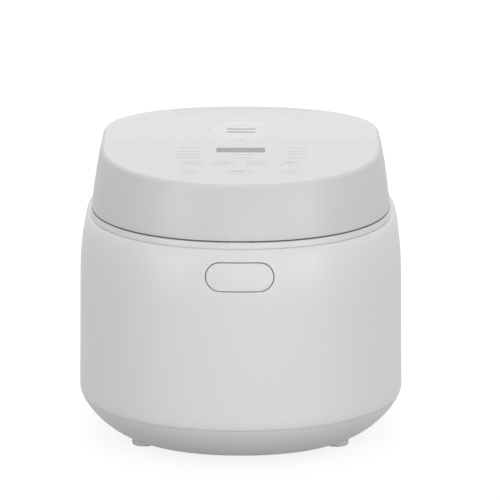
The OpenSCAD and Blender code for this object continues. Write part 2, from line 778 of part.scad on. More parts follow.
module lid_shell() {
    outer = [for (u = [0, 0.2, 0.45, 0.7, 0.9, 1]) lid_wall(u, 0)];
    round_rim = [for (a = [30, 60, 90])
        [lid_in + lid_lean + rim_run * (1 - cos(a)), lid_top - rim_h + rim_h * sin(a), 1]];
    inside = [
        [plate_in, lid_top - ledge_low, 1], [plate_in + ledge, lid_top - ledge_low, 1],
        [plate_in + ledge, lid_top - ledge_low - ledge_t, 1],
        lid_wall(0.9, lid_t), lid_wall(0.45, lid_t), lid_wall(0, lid_t)
    ];
    color(white) difference() {
        union() {
            skin([for (p = concat(outer, round_rim, inside)) ring(p)], loop = true);
            at_lid_posts() translate([0, 0, liner_top]) cylinder(h = 12, r = 4, $fn = 32);
        }
        box([-ear_x, ear_x], [rim_r - 6, half_d], [lid_low - 1, liner_top + arm_t + 0.4]);
        at_lid_posts() translate([0, 0, liner_top - 1]) cylinder(h = 11.5, r = screw_r, $fn = 32);
    }
}

module lid_liner() {
    color(white) difference() {
        union() {
            translate([0, 0, lid_low]) linear_extrude(liner_t) polygon(outline(inside_in));
            translate([0, 0, inner_lid_z + inner_lid_t]) cylinder(h = lid_low - inner_lid_z, r = pot_r - 1, $fn = 96);
        }
        translate([0, 0, inner_lid_z]) cylinder(h = lid_low - inner_lid_z + 0.5, r = pot_r - 5, $fn = 96);
        translate([0, steam_y, lid_low - 1]) cylinder(h = liner_t + 2, r = steam_r + 1.5);
        box([-catch_w / 2 - 1, catch_w / 2 + 1], [-half_d, catch_y + catch_t + 0.5], [lid_low - 1, liner_top + 1]);
        at_lid_posts() translate([0, 0, lid_low - 1]) cylinder(h = liner_t + 2, r = screw_r + 0.2, $fn = 32);
        for (s = [-1, 1]) translate([s * 18, axis_y - knuckle_r - 0.6 - arm_reach + 8, lid_low - 1])
            cylinder(h = liner_t + 2, r = screw_r, $fn = 32);
    }
}

// Where the tilted steam tube meets the lid's underside
steam_y = cap_y * cos(lid_slope) + (lid_top + cap_y * slant - lid_low) * sin(lid_slope);

module lid_screws() {
    color(steel) at_lid_posts() translate([0, 0, lid_low]) screw_flush();
}

// Countersunk-size screw whose flat head lies against the lid's underside
module screw_flush() {
    translate([0, 0, -1]) cylinder(h = 1, r = screw_head_r, $fn = 32);
    cylinder(h = liner_t + 10, r = screw_r, $fn = 32);
}

module lid_catch() {
    y = [catch_y, catch_y + catch_t];
    x = [-catch_w / 2, catch_w / 2];
    color(grey) difference() {
        union() {
            box(x, y, [catch_low, liner_top + 1.5]);
            box(x, [y[0], y[1] + 10], [liner_top, liner_top + 1.5]);
        }
        box([-6, 6], [y[0] - 1, y[1] + 1], [nose_low - 0.6, nose_low + nose_h + 0.6]);
    }
}

module inner_lid() {
    color(steel) translate([0, 0, inner_lid_z]) difference() {
        cylinder(h = inner_lid_t, r = inner_lid_r, $fn = 96);
        translate([0, steam_y, -1]) cylinder(h = inner_lid_t + 2, r = steam_bore + 1);
        translate([0, 0, -1]) cylinder(h = inner_lid_t + 2, r = 5);
    }
}

module inner_lid_knob() {
    color(grey) {
        translate([0, 0, inner_lid_z - 4]) cylinder(h = 4, r = 13);
        translate([0, 0, inner_lid_z - 1]) cylinder(h = lid_low + 0.5 - inner_lid_z + 1, r = 4.9);
    }
}

module lid_gasket() {
    low = pot_seat + pot_rim_t + part_gap;
    color(grey) translate([0, 0, low]) tube(rim_r - 1.4, inner_lid_r + 0.1, lid_low - low, $fn = 96);
}

module plate_2d(y0, y1) {
    intersection() {
        polygon(outline(plate_in + part_gap));
        translate([-half_w, y0]) square([2 * half_w, y1 - y0]);
    }
}

module key_2d(k, grow) {
    w = k[2] + 2 * grow;
    d = k[3] + 2 * grow;
    r = k[4] + grow;
    translate([k[0], k[1]]) if (2 * r < w) round_rect(w, d, r); else circle(r);
}

module control_panel() {
    color(white) on_top() difference() {
        union() {
            translate([0, 0, -plate_t]) linear_extrude(plate_t) difference() {
                plate_2d(-half_d, plate_seam_y - seam_gap / 2);
                translate([0, display_y]) round_rect(display_w, display_d, 1.5);
                for (k = KEYS) key_2d(k, part_gap);
            }
            for (p = panel_posts) translate([p[0], p[1], panel_board_z + board_t])
                cylinder(h = -panel_board_z - board_t - plate_t + 0.5, r = 3.5, $fn = 32);
        }
        for (p = panel_posts) translate([p[0], p[1], panel_board_z])
            cylinder(h = 8, r = screw_r, $fn = 32);
    }
}

// Corners of the display board
panel_posts = [
    for (x = [-1, 1], y = [row2_y - 6, display_y + 14]) [x * (panel_board_x - 4), y]
];

module rear_cover() {
    color(white) on_top() difference() {
        translate([0, 0, -plate_t]) linear_extrude(plate_t) difference() {
            plate_2d(plate_seam_y + seam_gap / 2, half_d);
            translate([0, cap_y]) circle(cap_r, $fn = 96);
        }
        translate([0, 0, -1]) linear_extrude(3) cover_2d(0);
    }
}

// Trapezoid with curved front and rear edges, over the hinge
module cover_2d(shrink) {
    front = [for (i = [-6:6]) let (x = i / 6 * (51 - shrink)) [x, rear_edge(x, plate_in + 26.3 - shrink)]];
    back = [for (i = [6:-1:-6]) let (x = i / 6 * (59 - shrink)) [x, rear_edge(x, plate_in + 4 + shrink)]];
    polygon(concat(front, back));
}

module hinge_cover() {
    color(grey) on_top() translate([0, 0, -1]) linear_extrude(0.8) cover_2d(0.2);
}

module steam_cap() {
    dish_r = cap_r - 1;
    dish = [for (i = [0:6]) [dish_r * i / 6, -dish_depth * (1 - pow(i / 6, 2))]];
    outer_r = cap_r - part_gap;
    skirt_r = cup_r - 0.5;
    low = -plate_t + part_gap;
    under = [[outer_r, 0], [outer_r, low], [skirt_r, low], [skirt_r, -8], [skirt_r - 2, -8], [skirt_r - 2, -4], [0, -4]];
    color(white) on_top() translate([0, cap_y]) difference() {
        rotate_extrude($fn = 96) polygon(concat(dish, under));
        for (s = [-1, 1]) translate([0, slot_mid + s * slot_pitch / 2])
            box([-slot_w / 2, slot_w / 2], [-slot_h / 2, slot_h / 2], [-9, 1]);
    }
}

module steam_cup() {
    color(grey) on_top() translate([0, cap_y]) difference() {
        union() {
            translate([0, 0, -plate_t - 1.5]) cylinder(h = 1.5, r = cap_r + 3, $fn = 96);
            translate([0, 0, -cup_h]) cylinder(h = cup_h - plate_t, r = cup_r + cup_t, $fn = 96);
            translate([0, 0, -cup_h - liner_t - 2]) cylinder(h = liner_t + 3, r = steam_r);
        }
        translate([0, 0, -cup_h + cup_t]) cylinder(h = cup_h, r = cup_r, $fn = 96);
        translate([0, 0, -cup_h - 10]) cylinder(h = 20, r = steam_bore);
    }
}

module steam_seal() {
    color(grey) translate([0, steam_y, inner_lid_z + inner_lid_t])
        tube(steam_r + 4, steam_r + 0.6, lid_low - inner_lid_z - inner_lid_t);
}

module display_window() {
    color([0.6, 0.62, 0.6, 0.5]) on_top() translate([0, display_y, 0])
        slab(display_w - 0.2, display_d - 0.2, 1.4, -plate_t + 0.1, 0);
}

module display_module() {
    color(dark) on_top() translate([0, display_y])
        slab(display_w + 4, display_d + 3, 1, panel_board_z + board_t, -plate_t);
}

module display_board() {
    color(board_green) on_top() difference() {
        box([-panel_board_x, panel_board_x], [row2_y - 10, display_y + 18], [panel_board_z, panel_board_z + board_t]);
        for (p = panel_posts) translate([p[0], p[1], panel_board_z - 1]) cylinder(h = 4, r = screw_r + 0.1, $fn = 32);
    }
}

module key_switches() {
    low = panel_board_z + board_t;
    color(dark) on_top() for (k = KEYS) translate([k[0], k[1], low]) {
        box([-3, 3], [-3, 3], [0, 3.5]);
        cylinder(h = switch_h, r = 1.75, $fn = 32);
    }
}

module board_screws() {
    color(steel) on_top() for (p = panel_posts) translate([p[0], p[1], panel_board_z]) screw(7.5);
}

// Key with a crown in the panel, a flange under it and a stem over its switch
module key(k) {
    flange_top = -plate_t - part_gap;
    stem_low = panel_board_z + board_t + switch_h + key_travel + part_gap;
    color(white) on_top() {
        translate([0, 0, flange_top - 0.5]) linear_extrude(key_proud - flange_top + 0.5) key_2d(k, 0);
        translate([0, 0, flange_top - flange_t]) linear_extrude(flange_t) key_2d(k, key_flange);
        translate([k[0], k[1], stem_low]) cylinder(h = flange_top - stem_low, r = 2, $fn = 32);
    }
}

body_shell();
base_cover();
collar();
feet();
base_screws();
collar_screws();
inner_casing();
heating_plate();
heating_tube();
keep_warm_band();
inner_pot();
sensor_holder();
sensor_cap();
sensor_spring();
thermal_fuse();
power_board();
relay();
capacitor();
transformer();
mains_inlet();
inlet_pins();
release_button();
latch_slide();
latch_frame();
latch_screws();
release_spring();
hinge_bracket();
hinge_pin();
hinge_spring();
hinge_arm();
arm_screws();
lid_shell();
lid_liner();
lid_screws();
lid_catch();
inner_lid();
inner_lid_knob();
lid_gasket();
control_panel();
rear_cover();
hinge_cover();
steam_cap();
steam_cup();
steam_seal();
display_window();
display_module();
display_board();
key_switches();
board_screws();
key(menu);  // menu_key
key(timer);  // timer_key
key(hour);  // hour_key
key(minute);  // minute_key
key(warm);  // warm_key
key(start);  // start_key
key(off);  // off_key
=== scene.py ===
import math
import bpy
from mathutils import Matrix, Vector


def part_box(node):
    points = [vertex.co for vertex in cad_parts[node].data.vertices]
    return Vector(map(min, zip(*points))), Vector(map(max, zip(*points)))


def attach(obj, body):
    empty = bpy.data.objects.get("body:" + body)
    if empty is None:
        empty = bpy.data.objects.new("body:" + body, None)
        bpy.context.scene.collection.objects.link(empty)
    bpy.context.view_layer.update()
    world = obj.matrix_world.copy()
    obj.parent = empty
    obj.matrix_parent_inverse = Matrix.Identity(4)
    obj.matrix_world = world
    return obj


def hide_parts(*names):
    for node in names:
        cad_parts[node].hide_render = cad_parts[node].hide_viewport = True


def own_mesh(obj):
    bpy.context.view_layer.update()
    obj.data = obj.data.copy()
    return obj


bl_info = {
    "name": "Rice cooker dressing",
    "version": (1, 0, 0),
    "blender": (4, 5, 0),
    "location": "View3D > Sidebar > Rice cooker",
    "description": "Builds the visible pieces and finishes of a countertop rice cooker around its packed CAD model",
    "category": "Object",
}

import bmesh
import bpy
from bpy.props import FloatProperty, FloatVectorProperty, IntProperty, PointerProperty
from mathutils import Matrix, Vector
from mathutils.bvhtree import BVHTree
from mathutils.geometry import tessellate_polygon
from mathutils.interpolate import poly_3d_calc

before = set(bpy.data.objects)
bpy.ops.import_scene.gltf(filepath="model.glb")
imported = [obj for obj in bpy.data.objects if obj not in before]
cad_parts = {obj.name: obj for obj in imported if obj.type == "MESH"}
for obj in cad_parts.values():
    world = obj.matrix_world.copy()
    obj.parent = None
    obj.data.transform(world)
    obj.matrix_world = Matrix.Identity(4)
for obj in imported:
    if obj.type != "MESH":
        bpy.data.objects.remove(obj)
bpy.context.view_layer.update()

MM = 0.001
SHELL_LOW, SHELL_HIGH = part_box("body_shell")
BASE_LOW, BASE_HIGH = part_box("base_cover")
COLLAR_LOW, COLLAR_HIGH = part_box("collar")
LID_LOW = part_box("lid_shell")[0]
BUTTON_LOW, BUTTON_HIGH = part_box("release_button")
POT_LOW, POT_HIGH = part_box("inner_pot")
LINER_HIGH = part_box("lid_liner")[1]
PIN_LOW, PIN_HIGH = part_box("hinge_pin")


# ---- sizes and colours that a user may change ----


def length(name, description, millimetres):
    return FloatProperty(
        name=name, description=description, default=millimetres * MM, min=0.0, precision=5, unit="LENGTH"
    )


def exponent(name, description, value):
    return FloatProperty(name=name, description=description, default=value, min=1.0)


def colour(name, description, value):
    return FloatVectorProperty(
        name=name, description=description, default=value, size=3, min=0.0, max=1.0, subtype="COLOR"
    )


class CookerSizes(bpy.types.PropertyGroup):
    front_arc: length("Front arc", "How far the rounded front of the plan reaches back", 140.5)
    rear_arc: length("Rear arc", "How far the rounded rear of the plan reaches forward", 99)
    front_square: exponent("Front squareness", "Exponent of the front oval", 2.14)
    rear_square: exponent("Rear squareness", "Exponent of the rear oval", 2.23)
    base_in: length("Floor inset", "How far the floor lies inside the widest outline", 34.1)
    belly_top: length("Belly top", "Height at which the belly starts to curve under", 38.1)
    belly_square: exponent("Belly squareness", "Exponent of the belly curve", 1.39)
    wall_lean: length("Wall lean", "How far the wall leans in from belly to shoulder", 1.1)
    shoulder_in: length("Shoulder inset", "How far the shoulder curves in", 8.6)
    shoulder_high: length("Shoulder height", "Height of the shoulder's curve", 53.2)
    lid_in: length("Lid inset", "How far the lid's lower edge lies inside the widest outline", 11.2)
    lid_lean: length("Lid lean", "How far the lid's wall leans in", 8.0)
    lid_swell: length("Lid swell", "How far the lid's wall swells", 1.0)
    rim_run: length("Rim width", "Width of the lid's rounded rim", 2.1)
    rim_high: length("Rim height", "Height of the lid's rounded rim", 3)
    rim_square: exponent("Rim squareness", "Exponent of the rim's curve", 1.4)
    lid_middle: length("Lid height", "Height of the lid's top face over the middle of the body", 243.7)
    lid_slope: FloatProperty(
        name="Lid slope",
        description="Rise of the lid's top towards the rear",
        default=math.radians(2.79),
        unit="ROTATION",
    )
    seam_y: length("Seam place", "Place of the seam between the lid's two top plates", 11.8)
    plate_thick: length("Plate thickness", "Thickness of the plates in the lid's top", 2.2)
    cap_radius: length("Steam cap radius", "Radius of the steam cap", 26.8)
    cap_place: length("Steam cap place", "Place of the steam cap behind the body's middle", 46.9)
    dish_deep: length("Dish depth", "Depth of the dish in the steam cap", 1.4)
    columns: IntProperty(name="Columns", description="Mesh columns round each half of the plan", default=56, min=24)


class CookerColours(bpy.types.PropertyGroup):
    shell: colour("Shell", "White plastic of the body", (0.88, 0.88, 0.873))
    lid: colour("Lid", "White plastic of the lid's wall", (0.76, 0.76, 0.758))
    # painted shade: the collar is the shell's white plastic made darker, so the band at the shoulder reads duller
    collar: colour("Collar", "Ring between body and lid", (0.835, 0.835, 0.828))
    base: colour("Base", "White plastic of the base", (0.895, 0.895, 0.888))
    # painted highlight: the rim is the lid's own plastic, made lighter than the lid's wall so its upward band reads
    # brighter
    rim: colour("Rim", "White plastic of the lid's rim", (0.785, 0.785, 0.78))
    cover: colour("Rear cover", "White plastic of the plate behind the seam", (0.83, 0.83, 0.82))
    # partly painted highlight: besides its own white, the steam cap is made lighter than the rear cover to brighten
    # its dish
    cap: colour("Steam cap", "White plastic of the steam cap", (0.86, 0.86, 0.85))
    panel: colour("Panel", "White plastic of the top plates", (0.81, 0.81, 0.80))
    key: colour("Keys", "Plastic of the keys", (0.78, 0.78, 0.77))
    insert: colour("Insert", "Grained insert at the lid's rear", (0.835, 0.815, 0.808))
    display: colour("Display", "Display behind its window", (0.30, 0.2, 0.145))
    label: colour("Print", "Printed marks", (0.16, 0.16, 0.165))
    soft_label: colour("Pale print", "Paler printed marks", (0.42, 0.42, 0.43))
    coating: colour("Pot coating", "Dark coating of the pot", (0.035, 0.035, 0.038))
    silicone: colour("Silicone", "Milky soft parts", (0.70, 0.70, 0.68))
    # painted light: the feet's grey is made paler to offset the shadow they stand in under the base
    foot: colour("Feet", "Pale grey soft feet", (0.72, 0.72, 0.71))
    backdrop: colour("Backdrop", "Floor and backdrop", (0.22, 0.22, 0.22))


def sizes():
    return bpy.context.scene.cooker_sizes


def colours():
    return bpy.context.scene.cooker_colours


# ---- plan and profiles ----

HALF_WIDTH, HALF_DEPTH = SHELL_HIGH.x, SHELL_HIGH.y
# sideways places of the openings' edges, where the mesh always has a column
BRACKET_X = 44.0 * MM
NOTCH_X = 31.0 * MM
INLET_X = 16.75 * MM
PATCH_X = 36.0 * MM
FIXED_X = (INLET_X, NOTCH_X, PATCH_X, BRACKET_X)
FIXED_CLEAR = 1.6 * MM  # nearest that another column comes to these
STEADY_X = 60 * MM  # columns nearer to the middle keep their place at every inset
LID_DROP = 0.2 * MM  # how far the lid's edge hangs below the CAD model's, to narrow the gap line


def slant():
    return math.tan(sizes().lid_slope)


def oval(x, across, deep, square):
    share = min(1.0, abs(x) / across)
    return deep * (1.0 - share**square) ** (1.0 / square)


def front_edge(x, inset):
    s = sizes()
    return s.front_arc - HALF_DEPTH - oval(x, HALF_WIDTH - inset, s.front_arc - inset, s.front_square)


def rear_edge(x, inset):
    s = sizes()
    return HALF_DEPTH - s.rear_arc + oval(x, HALF_WIDTH - inset, s.rear_arc - inset, s.rear_square)


def column_places(square):
    """Sideways places of the plan's columns on its widest outline, from the left side to the right."""
    count = sizes().columns
    places = []
    for i in range(count + 1):
        c = math.cos(math.pi * i / count)
        places.append(-HALF_WIDTH * math.copysign(abs(c) ** (2.0 / square), c))
    fixed = [side * x for x in FIXED_X for side in (-1, 1)]
    return sorted([p for p in places if all(abs(p - f) > FIXED_CLEAR for f in fixed)] + fixed)


def column_at(place, inset):
    """Sideways place of a column at an inset."""
    share = min(1.0, max(0.0, (abs(place) - STEADY_X) / (HALF_WIDTH - STEADY_X)))
    return place * (1.0 - share * share * (3 - 2 * share) * inset / HALF_WIDTH)


def plan(inset):
    """Plan outline moved in from the widest one: front half from left to right, then the rear half back."""
    s = sizes()
    front = [column_at(p, inset) for p in column_places(s.front_square)]
    rear = [column_at(p, inset) for p in reversed(column_places(s.rear_square))]
    return [Vector((x, front_edge(x, inset))) for x in front] + [Vector((x, rear_edge(x, inset))) for x in rear]


def ring(inset, z, tilt=0.0):
    return [Vector((p.x, p.y, z + tilt * slant() * p.y)) for p in plan(inset)]


def round_ring(radius, z):
    """Circle whose points lie in the same directions as the plan's."""
    return [Vector((*(p.normalized() * radius), z)) for p in plan(0.0)]


def shoulder_low():
    return SHELL_HIGH.z - sizes().shoulder_high


def wall_inset(z):
    """Inset of the body's outer face at a height."""
    s = sizes()
    if z < s.belly_top:
        share = (s.belly_top - z) / (s.belly_top - BASE_LOW.z)
        return s.base_in * (1 - (1 - min(1.0, share) ** s.belly_square) ** (1 / s.belly_square))
    if z < shoulder_low():
        return s.wall_lean * (z - s.belly_top) / (shoulder_low() - s.belly_top)
    share = min(1.0, (z - shoulder_low()) / s.shoulder_high)
    return s.wall_lean + s.shoulder_in * (1 - math.sqrt(max(0.0, 1 - share * share)))


def lid_ring(share, extra=0.0, fold=0.0):
    """Ring of the lid's wall, from its lower edge (0) to its rim (1)."""
    s = sizes()
    low = LID_LOW.z - LID_DROP
    rise = s.lid_middle - s.rim_high - low
    inset = s.lid_in + s.lid_lean * share - s.lid_swell * math.sin(math.pi * share) + extra
    return ring(inset, low + share * rise + fold, share)


def plate_inset():
    s = sizes()
    return s.lid_in + s.lid_lean + s.rim_run


def lid_top_matrix():
    """From the top plates' own plane to its place on the lid."""
    return at(0, 0, sizes().lid_middle) @ Matrix.Rotation(sizes().lid_slope, 4, "X")


# ---- mesh tools ----

SHARP_EDGE, SOFT_EDGE, CAD_EDGE = 35.0, 50.0, 30.0  # angles in degrees from which an edge shades as sharp
SAME_PLACE = 1e-6
CORNER_SHARE = 0.45  # most of each neighbouring side that a rounded corner takes
MITRE_LEAST = 0.3  # keeps the offset of a sharp corner short
PRINT_THICK = 0.01 * MM
SHADE_REACH = 0.03 * MM  # how near a cut piece's face must lie to the mesh it was cut from
SHADE_FACING = 0.9  # and how alike the two must face, as a cosine


def new_object(name, data):
    obj = bpy.data.objects.new(name, data)
    bpy.context.scene.collection.objects.link(obj)
    return obj


def from_bmesh(name, bm, sharp=SHARP_EDGE):
    bmesh.ops.remove_doubles(bm, verts=bm.verts, dist=SAME_PLACE)
    bmesh.ops.recalc_face_normals(bm, faces=bm.faces)
    mesh = bpy.data.meshes.new(name)
    bm.to_mesh(mesh)
    bm.free()
    smooth(mesh, sharp)
    return new_object(name, mesh)


def smooth(mesh, sharp):
    mesh.shade_smooth()
    mesh.set_sharp_from_angle(angle=math.radians(sharp))


def evaluated(obj):
    """Mesh of an object with its modifiers in it."""
    graph = bpy.context.evaluated_depsgraph_get()
    graph.update()
    return bpy.data.meshes.new_from_object(obj.evaluated_get(graph), preserve_all_data_layers=True, depsgraph=graph)


def apply_modifiers(obj):
    mesh = evaluated(obj)
    obj.modifiers.clear()
    obj.data = mesh


def add_modifier(obj, kind, **settings):
    modifier = obj.modifiers.new(kind, kind)
    for key, value in settings.items():
        setattr(modifier, key, value)


def soften(obj, width):
    """Round the sharp edges of a piece."""
    edges = {"limit_method": "ANGLE", "angle_limit": math.radians(CAD_EDGE)}
    add_modifier(obj, "BEVEL", width=width, segments=2, miter_outer="MITER_ARC", **edges)
    apply_modifiers(obj)
    smooth(obj.data, SOFT_EDGE)
    add_modifier(obj, "WEIGHTED_NORMAL", keep_sharp=True, weight=60)
    apply_modifiers(obj)


def cut(obj, cutters):
    """Cut solids out of a closed piece, and delete the solids."""
    before = obj.data.copy()
    for cutter in cutters:
        add_modifier(obj, "BOOLEAN", operation="DIFFERENCE", solver="EXACT", object=cutter)
    apply_modifiers(obj)
    for cutter in cutters:
        bpy.data.objects.remove(cutter)
    smooth(obj.data, SHARP_EDGE)
    keep_shading(obj, before)


def join(name, parts):
    """One piece made of several, with their materials and shading."""
    first = parts[0]
    chosen = {"active_object": first, "object": first, "selected_objects": parts, "selected_editable_objects": parts}
    with bpy.context.temp_override(**chosen):
        bpy.ops.object.join()
    first.name = name
    first.data.name = name
    return first


def sweep(name, rings, closed=False, skip=None, caps=False, sharp=SHARP_EDGE, extra=None):
    """Skin through rings of equal length. skip(row, column) leaves a face out; extra(bm, grid) adds more."""
    bm = bmesh.new()
    grid = [[bm.verts.new(p) for p in points] for points in rings]
    count = len(rings[0])
    for j in range(len(rings) - (0 if closed else 1)):
        upper = grid[(j + 1) % len(rings)]
        for i in range(count):
            if skip and skip(j, i):
                continue
            k = (i + 1) % count
            bm.faces.new((grid[j][i], grid[j][k], upper[k], upper[i]))
    if caps:
        bm.faces.new(grid[0])
        bm.faces.new(grid[-1])
    if extra:
        extra(bm, grid)
    loose = [v for v in bm.verts if not v.link_faces]
    bmesh.ops.delete(bm, geom=loose, context="VERTS")
    return from_bmesh(name, bm, sharp)


def lathe(name, profile, steps, matrix=None, closed=False):
    """Turn (radius, height) points about Z."""
    rings = [[Vector((x, y, z)) for x, y in circle_loop(0, 0, radius, steps)] for radius, z in profile]
    obj = sweep(name, rings, closed=closed)
    if matrix:
        obj.data.transform(matrix)
    return obj


def rounded(profile, radius, steps=4, closed=False):
    """Round the corners of a (radius, height) profile. A corner is (r, z) or (r, z, own radius)."""
    points = []
    count = len(profile)
    for i, corner in enumerate(profile):
        here = Vector(corner[:2])
        own = corner[2] if len(corner) > 2 else radius
        if own <= 0 or (not closed and i in (0, count - 1)):
            points.append(tuple(here))
            continue
        before = Vector(profile[i - 1][:2]) - here
        after = Vector(profile[(i + 1) % count][:2]) - here
        reach = min(own, CORNER_SHARE * before.length, CORNER_SHARE * after.length)
        a, b = here + before.normalized() * reach, here + after.normalized() * reach
        for k in range(steps + 1):
            t = k / steps
            points.append(tuple((1 - t) ** 2 * a + 2 * t * (1 - t) * here + t * t * b))
    return points


def left_offset(loop, distance):
    """Move a closed outline to its left, and give the outward direction at each point."""
    points, outward = [], []
    count = len(loop)
    for i in range(count):
        before, here, after = Vector(loop[i - 1]), Vector(loop[i]), Vector(loop[(i + 1) % count])
        a, b = (here - before).normalized(), (after - here).normalized()
        na, nb = Vector((-a.y, a.x)), Vector((-b.y, b.x))
        mitre = (na + nb) / max(MITRE_LEAST, 1 + na.dot(nb))
        points.append(here + mitre * distance)
        outward.append(-(na + nb).normalized())
    return points, outward


def turned(loop, anticlockwise):
    area = sum(p[0] * q[1] - q[0] * p[1] for p, q in zip(loop, list(loop[1:]) + [loop[0]]))
    return list(loop) if (area > 0) == anticlockwise else list(reversed(loop))


def edge_rows(low, high, bevel, low_bevel, steps):
    """Rows of a plate's edge, from low to high: how far in, the height, and how far the normal leans up."""
    turns = [math.pi / 2 * k / steps for k in range(steps + 1)]
    rows = [(0.0, low, 0.0)]
    if low_bevel:
        rows = [(low_bevel * (1 - math.cos(a)), low + low_bevel * (1 - math.sin(a)), -a) for a in turns[::-1]]
    if not bevel:
        return rows + [(0.0, high, 0.0)]
    return rows + [(bevel * (1 - math.cos(a)), high - bevel * (1 - math.sin(a)), a) for a in turns]


def plate(name, loops, low, high, bevel=0.0, matrix=None, steps=4, low_bevel=0.0):
    """Flat plate with an outer loop and holes. Its rounded edges shade smoothly into its flat faces."""
    rows = edge_rows(low, high, bevel, low_bevel, steps)
    verts, faces, normals = [], [], []
    levels = [[] for _ in rows]  # for each row, each loop's vertices
    for number, loop in enumerate(loops):
        loop = turned(loop, number == 0)
        count, outward = len(loop), left_offset(loop, 0.0)[1]
        for level, (offset, z, _) in zip(levels, rows):
            level.append(range(len(verts), len(verts) + count))
            verts += [Vector((p.x, p.y, z)) for p in left_offset(loop, offset)[0]]

        def lean(i, angle):
            return Vector((outward[i].x * math.cos(angle), outward[i].y * math.cos(angle), math.sin(angle)))

        for lower, upper, row, above_row in zip(levels, levels[1:], rows, rows[1:]):
            one, two = lower[-1], upper[-1]
            for i in range(count):
                k = (i + 1) % count
                faces.append((one[i], one[k], two[k], two[i]))
                normals += [lean(i, row[2]), lean(k, row[2]), lean(k, above_row[2]), lean(i, above_row[2])]
    for level, up in ((levels[-1], 1), (levels[0], -1)):
        index = [i for ids in level for i in ids]
        for tri in tessellate_polygon([[Vector((*verts[i].xy, 0)) for i in ids] for ids in level]):
            tri = [index[t] for t in tri]
            a, b, c = (verts[t] for t in tri)
            if (b - a).cross(c - a).z * up < 0:
                tri.reverse()
            faces.append(tri)
            normals += [Vector((0, 0, up))] * 3
    if matrix:
        turn = matrix.to_3x3().inverted().transposed()
        verts = [matrix @ v for v in verts]
        normals = [(turn @ n).normalized() for n in normals]
    mesh = bpy.data.meshes.new(name)
    mesh.from_pydata(verts, [], faces)
    mesh.shade_smooth()
    mesh.normals_split_custom_set(normals)
    return new_object(name, mesh)


def keep_shading(obj, before):
    """Give a cut piece the smooth shading of the mesh it was cut from."""
    tree = BVHTree.FromPolygons([v.co for v in before.vertices], [tuple(p.vertices) for p in before.polygons])
    mesh = obj.data
    normals = [n.vector.copy() for n in mesh.corner_normals]
    for polygon in mesh.polygons:
        for loop in polygon.loop_indices:
            corner = mesh.vertices[mesh.loops[loop].vertex_index].co
            place, normal, index, distance = tree.find_nearest(corner.lerp(polygon.center, 0.02))
            if distance > SHADE_REACH or polygon.normal.dot(normal) < SHADE_FACING:
                continue
            source = before.polygons[index]
            weights = poly_3d_calc([before.vertices[v].co for v in source.vertices], place)
            blend = Vector()
            for weight, source_loop in zip(weights, source.loop_indices):
                blend += weight * before.corner_normals[source_loop].vector
            normals[loop] = blend.normalized()
    mesh.normals_split_custom_set(normals)
    bpy.data.meshes.remove(before)


def block(name, low, high):
    """Box that cuts, between two corners."""
    bm = bmesh.new()
    bmesh.ops.create_cube(bm, size=1.0)
    for v in bm.verts:
        v.co = Vector([a + (c + 0.5) * (b - a) for a, c, b in zip(low, v.co, high)])
    return from_bmesh(name, bm)


def circle_loop(x, y, radius, steps=64):
    turns = [2 * math.pi * i / steps for i in range(steps)]
    return [(x + radius * math.cos(a), y + radius * math.sin(a)) for a in turns]


def arc(x, y, across, up, start, end, steps):
    """Points on an oval from one angle to another, in degrees."""
    turns = [math.radians(start + (end - start) * k / steps) for k in range(steps + 1)]
    return [(x + across * math.cos(a), y + up * math.sin(a)) for a in turns]


def round_rect_loop(x, y, wide, deep, corner, steps=8):
    points = []
    for quarter, (sx, sy) in enumerate(((1, 1), (-1, 1), (-1, -1), (1, -1))):
        cx, cy = x + sx * (wide / 2 - corner), y + sy * (deep / 2 - corner)
        points += arc(cx, cy, corner, corner, 90 * quarter, 90 * (quarter + 1), steps)
    return points


def rod(radius, low, high, hole=0.0):
    """Profile of a rod, or of a tube."""
    return [(hole, low), (radius, low), (radius, high), (hole, high)]


def above(z, *points):
    """Profile points from millimetres: a radius, and a height above z."""
    return [(radius * MM, z + height * MM) for radius, height in points]


def at(x, y, z=0.0):
    return Matrix.Translation((x, y, z))


def stadium_hit(dx, dz, wide, high):
    """How far a ray from the middle of a stadium runs to its outline."""
    span, radius = (wide - high) / 2, high / 2
    if abs(dz) > 1e-9:
        flat = radius / abs(dz)
        if abs(dx) * flat <= span:
            return flat
    return abs(dx) * span + math.sqrt(max(0.0, radius * radius - (span * dz) ** 2))


def print_mesh(name, text, size, matrix, wide=None):
    """Flat printed word, centred, lying in the matrix's plane."""
    curve = bpy.data.curves.new(name, "FONT")
    curve.body, curve.size = text, size
    curve.align_x = curve.align_y = "CENTER"
    curve.resolution_u = 3
    curve.extrude = PRINT_THICK
    holder = new_object(name + "_word", curve)
    mesh = evaluated(holder)
    bpy.data.objects.remove(holder)
    if wide:
        xs = [v.co.x for v in mesh.vertices]
        stretch = wide / (max(xs) - min(xs))
        mesh.transform(Matrix.Diagonal((stretch, 1, 1, 1)))
    mesh.transform(matrix)
    mesh.materials.clear()
    return new_object(name, mesh)


def dressed_copy(node, width):
    """Copy of a CAD node with its edges rounded."""
    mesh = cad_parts[node].data.copy()
    mesh.materials.clear()
    bm = bmesh.new()
    bm.from_mesh(mesh)
    bmesh.ops.remove_doubles(bm, verts=bm.verts, dist=SAME_PLACE)
    bmesh.ops.dissolve_limit(bm, angle_limit=math.radians(0.5), verts=bm.verts, edges=bm.edges)
    bm.to_mesh(mesh)
    bm.free()
    smooth(mesh, CAD_EDGE)
    obj = new_object(node + "_dressed", mesh)
    if width > 0:
        soften(obj, width)
    return obj


def finish_piece(obj, body, finish, *nodes, slot=None):
    """Give a new piece its finish, its body and the CAD nodes it stands for. Its slot is not used."""
    set_finish(obj, finish)
    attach(obj, body)
    if nodes:
        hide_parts(*nodes)
    return obj


def set_finish(obj, finish):
    obj.data.materials.clear()
    obj.data.materials.append(finish_of(finish))


